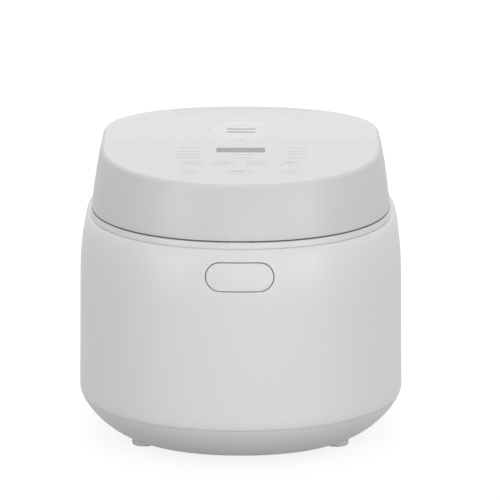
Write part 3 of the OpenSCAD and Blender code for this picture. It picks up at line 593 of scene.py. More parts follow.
def refinish(obj, finish, chosen):
    """Give a second finish to the faces that chosen(middle, normal) picks."""
    obj.data.materials.append(finish_of(finish))
    for polygon in obj.data.polygons:
        if chosen(polygon.center, polygon.normal):
            polygon.material_index = 1


# ---- finishes ----


def feed(tree, socket, value):
    """Set an input to a value, or link it to a socket."""
    if isinstance(value, bpy.types.NodeSocket):
        tree.links.new(value, socket)
    else:
        socket.default_value = value


def add_node(tree, kind, inputs=None, **settings):
    """Shader node with its settings and inputs."""
    node = tree.nodes.new("ShaderNode" + kind)
    for key, value in settings.items():
        setattr(node, key, value)
    for key, value in (inputs or {}).items():
        feed(tree, node.inputs[key], value)
    return node


def object_place(tree):
    return add_node(tree, "TexCoord").outputs["Object"]


def noise(tree, place, scale, detail=2.0, rough=0.5):
    inputs = {"Vector": place, "Scale": scale, "Detail": detail, "Roughness": rough}
    return add_node(tree, "TexNoise", inputs).outputs["Fac"]


def stripes(tree, scale, direction):
    inputs = {"Vector": object_place(tree), "Scale": scale}
    return add_node(tree, "TexWave", inputs, bands_direction=direction).outputs["Fac"]


def math_node(tree, operation, a, b):
    return add_node(tree, "Math", {0: a, 1: b, 2: 0.0}, operation=operation).outputs[0]


def plus(tree, a, b):
    return math_node(tree, "ADD", a, b)


def times(tree, a, b):
    return math_node(tree, "MULTIPLY", a, b)


def weighed(tree, a, b, share):
    """Sum of two values, of which the first has a share and the other the rest."""
    return plus(tree, times(tree, a, share), times(tree, b, 1 - share))


def swing(tree, value, amount):
    """A value from 0 to 1, as a change up or down."""
    return times(tree, math_node(tree, "SUBTRACT", value, 0.5), amount)


def to_range(tree, value, low, high, out_low=0.0, out_high=1.0):
    inputs = {"Value": value, "From Min": low, "From Max": high, "To Min": out_low, "To Max": out_high}
    return add_node(tree, "MapRange", inputs).outputs["Result"]


def mix_colour(tree, share, a, b, mode="MIX"):
    return add_node(tree, "Mix", {0: share, 6: a, 7: b}, data_type="RGBA", blend_type=mode).outputs[2]


def grey(tree, value):
    return add_node(tree, "CombineColor", {0: value, 1: value, 2: value}).outputs[0]


def shaded(tree, tint, gain):
    return mix_colour(tree, 1.0, tint, grey(tree, gain), "MULTIPLY")


def moulded_nodes(tree, enter):
    """Moulded plastic: faint flow mottle, fine grain and slightly uneven gloss."""
    place = object_place(tree)
    cloud = noise(tree, place, 90.0, 3.0)
    mottle = swing(tree, weighed(tree, noise(tree, place, 14.0), cloud, 0.6), enter["Mottle"])
    return {
        "Colour": shaded(tree, enter["Colour"], plus(tree, 1.0, mottle)),
        "Roughness": plus(tree, enter["Roughness"], swing(tree, cloud, 0.16)),
        "Height": weighed(tree, noise(tree, place, enter["Grain Scale"]), cloud, 0.8),
    }


def brushed_nodes(tree, enter):
    """Metal with fine strokes along one direction and slow changes of gloss."""
    place = object_place(tree)
    drawn = add_node(tree, "VectorMath", {0: place, 1: enter["Stroke"]}, operation="MULTIPLY").outputs[0]
    stroke = noise(tree, drawn, 1.0, 3.0)
    return {
        "Colour": shaded(tree, enter["Colour"], to_range(tree, stroke, 0.3, 0.7, 0.88, 1.06)),
        "Roughness": plus(tree, enter["Roughness"], swing(tree, noise(tree, place, 60.0, 3.0), 0.1)),
        "Height": stroke,
    }


def dust_nodes(tree, enter):
    """Mask of thin dust on faces that look up, broken by noise."""
    coords = add_node(tree, "TexCoord").outputs
    up = add_node(tree, "SeparateXYZ", {0: coords["Normal"]}).outputs["Z"]
    patch = to_range(tree, noise(tree, coords["Object"], 46.0, 6.0, 0.65), 0.42, 0.72)
    fleck = to_range(tree, noise(tree, coords["Object"], 900.0), 0.62, 0.72)
    lying = times(tree, to_range(tree, up, 0.35, 1.0), weighed(tree, patch, fleck, 0.75))
    return {"Mask": times(tree, lying, enter["Amount"])}


def speck_nodes(tree, enter):
    """Mask of scattered specks."""
    place = object_place(tree)
    cells = add_node(tree, "TexVoronoi", {"Vector": place, "Scale": enter["Scale"]}).outputs["Distance"]
    size = times(tree, enter["Size"], to_range(tree, noise(tree, place, 140.0), 0.3, 0.7, 0.3, 1.4))
    return {"Mask": math_node(tree, "LESS_THAN", cells, size)}


def handled_nodes(tree, enter):
    """Mask of rub marks and fingerprints."""
    place = object_place(tree)
    where = to_range(tree, noise(tree, place, 38.0, 3.0), 0.5, 0.72)
    bent = add_node(tree, "TexWave", {"Vector": place, "Scale": 420.0, "Distortion": 9.0, "Detail": 2.0})
    lines = to_range(tree, bent.outputs["Fac"], 0.35, 0.75)
    return {"Mask": times(tree, times(tree, where, lines), enter["Amount"])}


COLOUR, NUMBER, VECTOR = "NodeSocketColor", "NodeSocketFloat", "NodeSocketVector"
SKIN_OUTPUTS = (("Colour", COLOUR), ("Roughness", NUMBER), ("Height", NUMBER))
MASK_OUTPUT = (("Mask", NUMBER),)
PALE, HALF_GREY = (0.8, 0.8, 0.8, 1), (0.6, 0.6, 0.6, 1)
# effect: what makes its nodes, its outputs, and its inputs with their defaults
EFFECTS = {
    "Moulded plastic": (
        moulded_nodes, SKIN_OUTPUTS, ("Colour", COLOUR, PALE),
        ("Mottle", NUMBER, 0.05), ("Grain Scale", NUMBER, 2200.0), ("Roughness", NUMBER, 0.4),
    ),
    "Brushed metal": (
        brushed_nodes, SKIN_OUTPUTS, ("Colour", COLOUR, HALF_GREY),
        ("Roughness", NUMBER, 0.35), ("Stroke", VECTOR, (2500.0, 120.0, 2500.0)),
    ),
    "Dust": (dust_nodes, MASK_OUTPUT, ("Amount", NUMBER, 0.1)),
    "Specks": (speck_nodes, MASK_OUTPUT, ("Scale", NUMBER, 900.0), ("Size", NUMBER, 0.25)),
    "Handling marks": (handled_nodes, MASK_OUTPUT, ("Amount", NUMBER, 0.1)),
}


def effect(name):
    """Shader node group with named inputs and outputs, built once."""
    if name in bpy.data.node_groups:
        return bpy.data.node_groups[name]
    tree = bpy.data.node_groups.new(name, "ShaderNodeTree")
    nodes, outputs, *inputs = EFFECTS[name]
    for label, kind, value in inputs:
        tree.interface.new_socket(name=label, in_out="INPUT", socket_type=kind).default_value = value
    for label, kind in outputs:
        tree.interface.new_socket(name=label, in_out="OUTPUT", socket_type=kind)
    enter, leave = tree.nodes.new("NodeGroupInput"), tree.nodes.new("NodeGroupOutput")
    for label, socket in nodes(tree, enter.outputs).items():
        tree.links.new(socket, leave.inputs[label])
    return tree


def place_effect(tree, name, **values):
    node = add_node(tree, "Group", node_tree=effect(name))
    for key, value in values.items():
        feed(tree, node.inputs[key.replace("_", " ")], value)
    return node.outputs


def new_material(name):
    material = bpy.data.materials.new(name)
    material.use_nodes = True
    tree = material.node_tree
    return material, tree, tree.nodes["Principled BSDF"]


def rgba(value):
    return (*value, 1.0)


class Skin:
    """A new material, with the colour, roughness and height that reach its shader in the end."""

    def __init__(self, name, effect_name, value, **settings):
        self.material, self.tree, self.shader = new_material(name)
        base = place_effect(self.tree, effect_name, Colour=rgba(value), **settings)
        self.tint, self.gloss, self.height = base["Colour"], base["Roughness"], base["Height"]

    def stain(self, mask, value, dulled=0.0):
        """Lay a colour over the masked places, and dull them."""
        self.tint = mix_colour(self.tree, mask, self.tint, rgba(value))
        if dulled:
            self.gloss = plus(self.tree, self.gloss, times(self.tree, mask, dulled))

    def done(self, depth, strength=0.5, **fixed):
        """Feed the shader. The bump's depth is in metres, and the other settings are the shader's own."""
        inputs = {"Height": self.height, "Distance": depth, "Strength": strength}
        bump = add_node(self.tree, "Bump", inputs).outputs["Normal"]
        fixed = {key.replace("_", " "): value for key, value in fixed.items()}
        for key, value in {"Base Color": self.tint, "Roughness": self.gloss, "Normal": bump, **fixed}.items():
            feed(self.tree, self.shader.inputs[key], value)
        return self.material


def moulded(name, value, mottle, grain, rough):
    return Skin(name, "Moulded plastic", value, Mottle=mottle, Grain_Scale=grain, Roughness=rough)


def plastic(name, value, rough, mottle=0.03, grain=2200.0, depth=0.00002, dust=0.05, handled=0.05):
    """Moulded plastic with mottle, grain, dust and handling marks."""
    skin = moulded(name, value, mottle, grain, rough)
    if dust:
        skin.stain(place_effect(skin.tree, "Dust", Amount=dust)["Mask"], (0.62, 0.60, 0.56), 0.8)
    if handled:
        skin.gloss = plus(skin.tree, skin.gloss, place_effect(skin.tree, "Handling marks", Amount=handled)["Mask"])
    return skin.done(depth)


def rough_plastic(name, value, rough=0.5, mottle=0.1, dust=0.1):
    """Plain engineering plastic that no hand touches."""
    return plastic(name, value, rough, mottle, 1400.0, 0.00005, dust, 0.0)


def metal(name, value, rough, stroke, tarnish, depth=0.00001):
    """Drawn, cast or brushed metal with strokes and dull stains."""
    skin = Skin(name, "Brushed metal", value, Roughness=rough, Stroke=stroke)
    skin.stain(place_effect(skin.tree, "Dust", Amount=tarnish)["Mask"], (0.25, 0.22, 0.18), 0.5)
    return skin.done(depth, Metallic=1.0)


def grained(name, value):
    """Fine pebbled skin, slightly duller and pinker than the shell."""
    skin = moulded(name, value, 0.06, 1500.0, 0.6)
    tree, place = skin.tree, object_place(skin.tree)
    inputs = {"Vector": place, "Scale": 750.0}
    pebbles = add_node(tree, "TexVoronoi", inputs, feature="SMOOTH_F1").outputs["Distance"]
    speckle = to_range(tree, noise(tree, place, 1100.0, 3.0, 0.7), 0.35, 0.65, 0.93, 1.06)
    skin.tint = shaded(tree, skin.tint, speckle)
    skin.height = weighed(tree, pebbles, skin.height, 0.7)
    return skin.done(0.0002, 0.7)


def non_stick(name, value):
    """Dark coating with pale specks and a worn sheen."""
    skin = moulded(name, value, 0.3, 1600.0, 0.42)
    skin.stain(place_effect(skin.tree, "Specks", Scale=620.0, Size=0.2)["Mask"], (0.17, 0.17, 0.175))
    return skin.done(0.00006)


def rubber(name, value):
    """Soft rubber with dust in its grain."""
    skin = moulded(name, value, 0.12, 1300.0, 0.7)
    skin.stain(place_effect(skin.tree, "Dust", Amount=0.25)["Mask"], (0.6, 0.58, 0.54))
    return skin.done(0.00008, 0.6)


def milky(name, value):
    """Soft seal with a faint bloom."""
    skin = moulded(name, value, 0.08, 900.0, 0.5)
    return skin.done(0.00003, 0.4, Subsurface_Weight=0.25, Subsurface_Scale=0.004)


def sleeping_screen(name, value):
    """Display glass with the faint cell rows of a screen that is off."""
    skin = moulded(name, value, 0.10, 600.0, 0.3)
    skin.stain(to_range(skin.tree, stripes(skin.tree, 260.0, "X"), 0.8, 1.0, 0.0, 0.06), (0.12, 0.125, 0.12))
    return skin.done(0.00001, 0.2)


def clear_lens(name, value):
    """Clear cover with handling marks in its gloss."""
    material, tree, shader = new_material(name)
    cloud = noise(tree, object_place(tree), 80.0)
    mask = place_effect(tree, "Handling marks", Amount=0.12)["Mask"]
    for key, setting in (
        ("Base Color", grey(tree, to_range(tree, cloud, 0.3, 0.7, value, 1.0))),
        ("Roughness", plus(tree, mask, 0.08)),
        ("Transmission Weight", 1.0),
        ("IOR", 1.45),
    ):
        feed(tree, shader.inputs[key], setting)
    return material


def circuit_board(name, value):
    """Green mask over copper tracks."""
    skin = moulded(name, value, 0.15, 2000.0, 0.35)
    inputs = {"Vector": object_place(skin.tree), "Scale": 160.0, "Mortar Size": 0.03, "Mortar Smooth": 0.1}
    tracks = add_node(skin.tree, "TexBrick", inputs).outputs["Fac"]
    skin.stain(tracks, (0.05, 0.30, 0.12))
    skin.stain(place_effect(skin.tree, "Specks", Scale=210.0, Size=0.16)["Mask"], (0.62, 0.60, 0.55))
    skin.height = plus(skin.tree, tracks, skin.height)
    return skin.done(0.00006)


def wound(name, value, rough=0.5):
    """Component with a taped or wound skin."""
    skin = moulded(name, value, 0.15, 1400.0, rough)
    turns = stripes(skin.tree, 300.0, "Z")
    skin.stain(times(skin.tree, turns, 0.25), (0.02, 0.02, 0.02))
    skin.height = plus(skin.tree, turns, skin.height)
    return skin.done(0.00005)


def ink(name, value):
    """Printed ink with small breaks in its cover."""
    return moulded(name, value, 0.2, 3000.0, 0.5).done(0.00001, 0.3)


# finish: its slot in the record, what makes it, its colour or the name of the user's colour, its settings
FINISHES = {
    "shell": ("white_plastic", plastic, "shell", dict(rough=0.36)),
    "lid shell": ("white_plastic", plastic, "lid", dict(rough=0.38)),
    "base": ("white_plastic", plastic, "base", dict(rough=0.38, mottle=0.04)),
    "panel": ("white_plastic", plastic, "panel", dict(rough=0.34, handled=0.06)),
    "rim": ("white_plastic", plastic, "rim", dict(rough=0.36, handled=0.06)),
    "collar": ("white_plastic", plastic, "collar", dict(rough=0.34, handled=0.08)),
    "rear cover": ("white_plastic", plastic, "cover", dict(rough=0.34, handled=0.06)),
    "steam cap": ("white_plastic", plastic, "cap", dict(rough=0.25, dust=0.03, handled=0.04)),
    "trim": (
        "white_trim", plastic, "panel",
        dict(rough=0.45, mottle=0.04, grain=1500.0, depth=0.00004, dust=0.03, handled=0.0),
    ),
    "keys": ("key_plastic", plastic, "key", dict(rough=0.32, grain=1800.0, dust=0.0, handled=0.12)),
    "grey plastic": ("grey_plastic", rough_plastic, (0.40, 0.40, 0.41), dict(mottle=0.08)),
    "latch plastic": ("grey_plastic", rough_plastic, (0.13, 0.13, 0.135), {}),
    "dark plastic": ("dark_plastic", rough_plastic, (0.05, 0.05, 0.052), dict(rough=0.45, mottle=0.15, dust=0.15)),
    "insert": ("white_trim", grained, "insert", {}),
    "coating": ("pot_coating", non_stick, "coating", {}),
    "feet": ("foot_rubber", rubber, "foot", {}),
    "silicone": ("silicone", milky, "silicone", {}),
    "display": (None, sleeping_screen, "display", {}),
    "window": ("window", clear_lens, 0.92, {}),
    "board": (None, circuit_board, (0.02, 0.16, 0.07), {}),
    "component black": (None, wound, (0.03, 0.03, 0.032), {}),
    "component yellow": (None, wound, (0.62, 0.46, 0.08), {}),
    "mica": (None, wound, (0.34, 0.27, 0.20), dict(rough=0.65)),
    "print": (None, ink, "label", {}),
    "pale print": (None, ink, "soft_label", {}),
    "sheet steel": (
        "steel_sheet", metal, (0.60, 0.60, 0.61), dict(rough=0.34, stroke=(900.0, 900.0, 90.0), tarnish=0.06)
    ),
    "screw steel": (
        "screw_steel", metal, (0.52, 0.52, 0.53), dict(rough=0.3, stroke=(700.0, 700.0, 4000.0), tarnish=0.15)
    ),
    "spring steel": (
        "spring_steel", metal, (0.42, 0.42, 0.44), dict(rough=0.28, stroke=(3000.0, 3000.0, 600.0), tarnish=0.1)
    ),
    "cast aluminium": (
        None, metal, (0.62, 0.63, 0.64), dict(rough=0.5, stroke=(500.0, 500.0, 500.0), tarnish=0.25, depth=0.00008)
    ),
    "brass": (
        "contact_brass", metal, (0.70, 0.52, 0.24), dict(rough=0.3, stroke=(2000.0, 300.0, 2000.0), tarnish=0.12)
    ),
}


def finish_of(name):
    if name in bpy.data.materials:
        return bpy.data.materials[name]
    make, value, settings = FINISHES[name][1:]
    if isinstance(value, str):
        value = getattr(colours(), value)
    return make(name, value, **settings)


# ---- body ----

BUTTON_GAP = 0.8 * MM  # between the CAD model's button and its opening
GAP_FILL = 0.04 * MM  # taken from each side of that gap by the dressed pieces
LIP = 0.6 * MM  # rounded lip of the button's opening
BUTTON_LIP = 0.7 * MM  # rounded edge of the button
WALL = 2.8 * MM
LEDGE_IN = 12.6 * MM  # inner edge of the ledge that carries the collar
LEDGE_DEEP = 4 * MM
THICKENS_FROM = 177.2 * MM  # height from which the wall thickens towards the ledge
INLET_ROWS = (51.25 * MM, 76.75 * MM)
BUTTON_ROWS = (148 * MM, 182 * MM)
POCKET_LOW = 168.2 * MM  # floor of the pocket behind the hinge's bracket


def columns_at(x, rear):
    """Indices in the plan of the two columns at a distance to the left and right of the middle."""
    points = plan(0.0)
    split = len(column_places(sizes().front_square))
    half = range(split, len(points)) if rear else range(split)
    return sorted(min(half, key=lambda i: abs(points[i].x - place)) for place in (-x, x))


def border(grid, rows, columns):
    """Vertices round a rectangle of the grid, in order."""
    (a, b), (c, d) = rows, columns
    return (
        [grid[a][i] for i in range(c, d + 1)]
        + [grid[j][d] for j in range(a + 1, b + 1)]
        + [grid[b][i] for i in range(d - 1, c - 1, -1)]
        + [grid[j][c] for j in range(b - 1, a, -1)]
    )


def bridge(bm, one, other):
    """Faces between two closed rows of vertices. A corner that two neighbours share makes a triangle."""
    for i in range(len(one)):
        k = (i + 1) % len(one)
        corners = [one[i], one[k], other[k], other[i]]
        if other[k] is other[i]:
            corners.pop()
        bm.faces.new(corners)


def nearest(vertices, places):
    """The nearest of some vertices to each place, as seen from the front."""
    return [min(vertices, key=lambda w: (w.co.x - v.co.x) ** 2 + (w.co.z - v.co.z) ** 2) for v in places]


def button_size():
    """Middle height, width and height of the opening that the button fills."""
    wide = BUTTON_HIGH.x - BUTTON_LOW.x + 2 * BUTTON_GAP
    high = BUTTON_HIGH.z - BUTTON_LOW.z + 2 * BUTTON_GAP
    return (BUTTON_HIGH.z + BUTTON_LOW.z) / 2, wide, high


def capsule_point(direction, grow, back=0.0, share=1.0):
    """Point on the body's front, in a direction from the button's middle, on its outline grown by an amount."""
    middle, wide, high = button_size()
    reach = stadium_hit(*direction, wide + 2 * grow, high + 2 * grow) * share
    x, z = direction[0] * reach, middle + direction[1] * reach
    return Vector((x, front_edge(x, wall_inset(z)) + back, z))


def shoulder_rows(start, steps):
    """Heights from a place on the shoulder to its top, in even turns of its curve."""
    low, high = shoulder_low(), sizes().shoulder_high
    first = math.asin((start - low) / high)
    return [low + high * math.sin(first + (math.pi / 2 - first) * k / steps) for k in range(1, steps + 1)]


def body_rows():
    """Heights of the body's rows from the seam to the shoulder's top."""
    low = [SHELL_LOW.z, SHELL_LOW.z + 0.8 * MM, SHELL_LOW.z + 1.7 * MM, sizes().belly_top]
    inlet = [45, INLET_ROWS[0] / MM, 57.6, 64, 70.4, INLET_ROWS[1] / MM, 90, 105, 119]  # in millimetres
    button = [BUTTON_ROWS[0] + (POCKET_LOW - BUTTON_ROWS[0]) * k / 6 for k in range(7)]
    button += [POCKET_LOW + (BUTTON_ROWS[1] - POCKET_LOW) * k / 4 for k in range(1, 5)]
    return low + [z * MM for z in inlet] + [shoulder_low(), 141 * MM] + button + shoulder_rows(BUTTON_ROWS[1], 6)


def inner_inset(z):
    """Inset of the body's inner face at a height."""
    start = wall_inset(min(z, THICKENS_FROM)) + WALL
    if z <= THICKENS_FROM:
        return start
    share = min(1.0, (z - THICKENS_FROM) / (SHELL_HIGH.z - LEDGE_DEEP - THICKENS_FROM))
    return start + (LEDGE_IN - start) * share


def build_body_shell():
    top = SHELL_HIGH.z
    outer_z = body_rows()
    inner_z = [top, top - LEDGE_DEEP] + [z for z in reversed(outer_z) if z < top - LEDGE_DEEP - 0.1 * MM]
    insets = [wall_inset(z) for z in outer_z] + [LEDGE_IN] + [inner_inset(z) for z in inner_z[1:]]
    heights = outer_z + inner_z
    split = len(outer_z)

    def row(z, inner):
        chosen = range(split, len(heights)) if inner else range(split)
        return min(chosen, key=lambda j: abs(heights[j] - z))

    def window(low, high, x, rear):
        return (row(low, False), row(high, False)), (row(high, True), row(low, True)), columns_at(x, rear)

    button, inlet = window(*BUTTON_ROWS, PATCH_X, False), window(*INLET_ROWS, INLET_X, True)
    pocket = columns_at(BRACKET_X, True)
    pocket_rows = (row(POCKET_LOW, False), row(POCKET_LOW, True))

    def skip(j, i):
        for outer, inner, across in (button, inlet):
            if across[0] <= i < across[1] and (outer[0] <= j < outer[1] or inner[0] <= j < inner[1]):
                return True
        return pocket[0] <= i < pocket[1] and pocket_rows[0] <= j < pocket_rows[1]

    def extra(bm, grid):
        outer, inner, across = inlet
        front = border(grid, outer, across)
        bridge(bm, front, nearest(border(grid, inner, across), front))
        close_cut(bm, grid, pocket, range(pocket_rows[0], pocket_rows[1] + 1))
        button_opening(bm, grid, *button)

    rings = [ring(inset, z) for inset, z in zip(insets, heights)]
    obj = sweep("body_shell_skin", rings, closed=True, skip=skip, extra=extra)
    finish_piece(obj, "cooker", "shell", "body_shell")


def close_cut(bm, grid, across, rows):
    """Close a notch in a skin: a face at each side, and a strip between its first and last rows."""
    rows = list(rows)
    for c in across:
        bm.faces.new([grid[j][c] for j in rows])
    first, last = grid[rows[0]], grid[rows[-1]]
    for i in range(*across):
        bm.faces.new((first[i], first[i + 1], last[i + 1], last[i]))


def button_opening(bm, grid, outer, inner, across):
    """Skin between the left-out rectangle and the capsule, rounded lip, and wall of the opening."""
    middle = button_size()[0]
    edge = border(grid, outer, across)
    directions = [Vector((v.co.x, v.co.z - middle)).normalized() for v in edge]
    rows = [edge]
    goals = [capsule_point(d, LIP - GAP_FILL) for d in directions]
    for share in (0.4, 0.75, 1.0):
        points = [v.co.lerp(goal, share) for v, goal in zip(edge, goals)]
        rows.append([bm.verts.new((p.x, front_edge(p.x, wall_inset(p.z)), p.z)) for p in points])
    for angle in (30, 60, 90):
        grow, back = (LIP * (1 - turn(math.radians(angle))) for turn in (math.sin, math.cos))
        rows.append([bm.verts.new(capsule_point(d, grow - GAP_FILL, back)) for d in directions])
    mouth = [capsule_point(d, -GAP_FILL) for d in directions]
    rows.append([bm.verts.new((p.x, front_edge(p.x, inner_inset(p.z)), p.z)) for p in mouth])
    rows.append(nearest(border(grid, inner, across), edge))
    for one, other in zip(rows, rows[1:]):
        bridge(bm, one, other)


def capsule_direction(walked, span, radius):
    """Direction from a capsule's middle to the point at a distance along its outline."""
    half = 2 * span + math.pi * radius
    side = 1 if walked < half else -1
    walked -= 0.0 if side > 0 else half
    if walked < 2 * span:
        return side * Vector((walked - span, -radius)).normalized()
    a = (walked - 2 * span) / radius - math.pi / 2
    return side * Vector((span + radius * math.cos(a), radius * math.sin(a))).normalized()


def build_release_button():
    steps = 96
    wide, high = button_size()[1:]
    span, radius = (wide - high) / 2, high / 2
    around = 2 * math.pi * radius + 4 * span
    directions = [capsule_direction(k / steps * around, span, radius) for k in range(steps)]
    edge = GAP_FILL - BUTTON_GAP
    rings = []
    for share in (0.2, 0.45, 0.7, 0.88, 1.0):
        rings.append([capsule_point(d, edge - BUTTON_LIP, 0.0, share) for d in directions])
    for angle in (22, 45, 68, 90):
        inward, back = (BUTTON_LIP * (1 - turn(math.radians(angle))) for turn in (math.sin, math.cos))
        rings.append([capsule_point(d, edge - inward, back) for d in directions])
    rings.append([Vector((p.x, BUTTON_HIGH.y, p.z)) for p in rings[-1]])
    obj = sweep("release_button_skin", rings, caps=True, sharp=SOFT_EDGE)
    finish_piece(obj, "release", "shell", "release_button")


COLLAR_BAND = 10.1 * MM  # inset of the collar's band that shows
COLLAR_LIP = 12.9 * MM
COLLAR_MOUTH, COLLAR_RECESS, COLLAR_SEAT = 116.9 * MM, 120.6 * MM, 187.2 * MM
POCKET_FRONT = 124.3 * MM


def build_collar():
    low, ledge, seam, high = COLLAR_LOW.z, SHELL_HIGH.z, SHELL_HIGH.z + 0.5 * MM, COLLAR_HIGH.z
    rings = [ring(COLLAR_LIP, low), ring(COLLAR_LIP, ledge)]
    for inward, z in (
        (1.2, ledge), (1.2, seam), (0.25, seam), (0.0, seam + 0.25 * MM), (0.1, seam + 1.4 * MM),
        (0.28, high - 0.8 * MM), (0.5, high - 0.2 * MM), (0.9, high),
    ):
        rings.append(ring(COLLAR_BAND + inward * MM, z))
    edge = 0.4 * MM
    rings += [
        round_ring(COLLAR_RECESS + edge, high), round_ring(COLLAR_RECESS, high - edge),
        round_ring(COLLAR_RECESS, COLLAR_SEAT), round_ring(COLLAR_MOUTH + edge, COLLAR_SEAT),
        round_ring(COLLAR_MOUTH, COLLAR_SEAT - edge), round_ring(COLLAR_MOUTH, low),
    ]
    obj = sweep("collar_ring", rings, closed=True)
    slot = block("catch_slot", (-10 * MM, -129 * MM, low - MM), (10 * MM, -123.8 * MM, high + MM))
    pocket = block("bracket_pocket", (-BRACKET_X, POCKET_FRONT, low - MM), (BRACKET_X, 150 * MM, high + MM))
    cut(obj, [slot, pocket])
    # the collar's finish is a darker copy of the shell's white: painted shade
    finish_piece(obj, "cooker", "collar", "collar")
    across, deep = HALF_WIDTH - 12 * MM, HALF_DEPTH - 12 * MM

    def under_lid(middle, normal):
        """Faces of the ring under the lid, which get grey: painted shade in the gap between lid and collar, inside
        the white band that shows.
        """
        if middle.z <= COLLAR_SEAT - 0.1 * MM:
            return False
        lies_inside = Vector((middle.x / across, middle.y / deep)).length < 1.0
        return lies_inside and normal.z > 0.8 or Vector(middle[:2]).length < COLLAR_RECESS + MM

    refinish(obj, "grey plastic", under_lid)


FOOT_RADIUS, PAD_RADIUS = 10 * MM, 9.6 * MM
REAR_FEET_X = 72 * MM
TUB_WALL, TUB_FLOOR = 2.2 * MM, 2 * MM
BRIM_RISE = 0.28 * MM  # how far the tub's brim stands above the CAD model's, to narrow the seam
VENT_Y, VENT_STEP, VENT_WIDE, VENT_LONG = 62 * MM, 9 * MM, 3.5 * MM, 30 * MM
BASE_SCREW_X, BASE_SCREW_Y = 92.6 * MM, 33.7 * MM


def build_base():
    s = sizes()
    floor, brim = BASE_LOW.z, BASE_HIGH.z + BRIM_RISE
    deep, power = s.belly_top - floor, 2 / s.belly_square
    steps = 16
    first = math.asin(((s.belly_top - brim) / deep) ** (1 / power))
    outer = []
    for k in range(steps + 1):
        a = first + (math.pi / 2 - first) * k / steps
        outer.append((s.base_in * (1 - math.cos(a) ** power), s.belly_top - deep * math.sin(a) ** power))
    inner = [(i + TUB_WALL, z + TUB_FLOOR) for i, z in reversed(outer[:-1:2]) if z + TUB_FLOOR < brim - 0.5 * MM]
    inner[0] = (s.base_in + 1.2 * MM, floor + 2.5 * MM)
    rings = [ring(inset, z) for inset, z in inner + [(outer[0][0] + 2.5 * MM, brim)] + outer]
    obj = sweep("base_tub", rings, caps=True)
    cut(obj, [vent_slot(i * VENT_STEP, floor) for i in range(-4, 5)])
    pad = rounded(rod(PAD_RADIUS, floor + 0.2 * MM, 10 * MM), 0.3 * MM)
    obj = join("base_tub", [obj] + [lathe("foot_pad", pad, 48, place) for place in foot_places()])
    finish_piece(obj, "cooker", "base", "base_cover")
    profile = rounded([(0, 0), (FOOT_RADIUS, 0, 1.1 * MM), (FOOT_RADIUS, floor, 0.3 * MM), (0, floor)], 0.6 * MM, 5)
    profile = above(0, (0, 0.35), (6.5, 0.35), (7, 0)) + profile[1:]
    feet = [lathe("foot", profile, 48, place) for place in foot_places()]
    finish_piece(join("feet_soft", feet), "cooker", "feet", "feet")
    places = [(x, y, floor) for y in (BASE_SCREW_Y, -BASE_SCREW_Y) for x in (BASE_SCREW_X, -BASE_SCREW_X)]
    add_screws("base_screws", "cooker", places, 2 * MM, 22 * MM)


def foot_places():
    low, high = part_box("feet")
    front, rear = low.y + FOOT_RADIUS, high.y - FOOT_RADIUS
    rows = ((high.x - FOOT_RADIUS, front), (REAR_FEET_X, rear))
    return [at(side * x, y) for x, y in rows for side in (-1, 1)]


def vent_slot(x, floor):
    loop = round_rect_loop(x, VENT_Y, VENT_WIDE, VENT_LONG, VENT_WIDE / 2 - 0.01 * MM)
    return plate("slot_cutter", [loop], floor - 2 * MM, floor + 8 * MM)


def add_screws(node, body, places, head, shank):
    """Pan-head screws with cross recesses, heads down, shanks up from their places."""
    radius = 3.4 * MM
    screws = []
    for place in places:
        outline = [(0, -head), (radius * 0.7, -head), (radius, -head * 0.55), (radius, 0), (radius * 0.45, 0)]
        obj = lathe("screw", rounded(outline + [(radius * 0.45, shank), (0, shank)], 0.3 * MM), 40)
        bars = []
        for x, y in ((radius * 0.55, radius * 0.12), (radius * 0.12, radius * 0.55)):
            bars.append(block("recess", (-x, -y, -head - MM), (x, y, -head * 0.35)))
        cut(obj, bars)
        obj.data.transform(at(*place))
        screws.append(obj)
    finish_piece(join(node[:-1] + "_set", screws), body, "screw steel", node)


# ---- inlet and hinge ----

INLET_WIDE, INLET_HIGH, INLET_DEEP, INLET_WALL = 24.5 * MM, 16.5 * MM, 14 * MM, 1.7 * MM
EAR_X, EAR_RADIUS, EAR_WIDE, PIN_HOLE = 37 * MM, 4.6 * MM, 12 * MM, 2.05 * MM
DRESSED_EDGE = 0.35 * MM
BRACKET_TOP = 190.6 * MM


def upright(y):
    """From a plate's own plane to one that faces the rear, its front face at y."""
    return Matrix(((-1, 0, 0, 0), (0, 0, 1, y), (0, 1, 0, 0), (0, 0, 0, 1)))


def build_inlet():
    low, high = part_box("mains_inlet")
    middle, facing = (low.z + high.z) / 2, upright(high.y)
    flange = round_rect_loop(0, middle, high.x - low.x, high.z - low.z, 1.2 * MM)
    opening = round_rect_loop(0, middle, INLET_WIDE, INLET_HIGH, 3 * MM)
    sleeve = round_rect_loop(0, middle, INLET_WIDE + 2 * INLET_WALL, INLET_HIGH + 2 * INLET_WALL, 3.5 * MM)
    parts = [
        plate("flange", [flange, opening], -1.2 * MM, 0, 0.3 * MM, facing),
        plate("throat", [sleeve, opening], -INLET_DEEP, -0.6 * MM, 0.1 * MM, facing),
        plate("back", [sleeve], -INLET_DEEP - INLET_WALL, -INLET_DEEP, 0.1 * MM, facing),
    ]
    finish_piece(join("inlet_housing", parts), "cooker", "dark plastic", "mains_inlet")
    pins = []
    for x, z in ((-7, -2), (0, 3), (7, -2)):
        loop = round_rect_loop(x * MM, middle + z * MM, 2 * MM, 4 * MM, 0.4 * MM, 3)
        pins.append(plate("pin", [loop], -18 * MM, -6 * MM, 0.5 * MM, facing))
    finish_piece(join("inlet_pin_set", pins), "cooker", "brass", "inlet_pins")


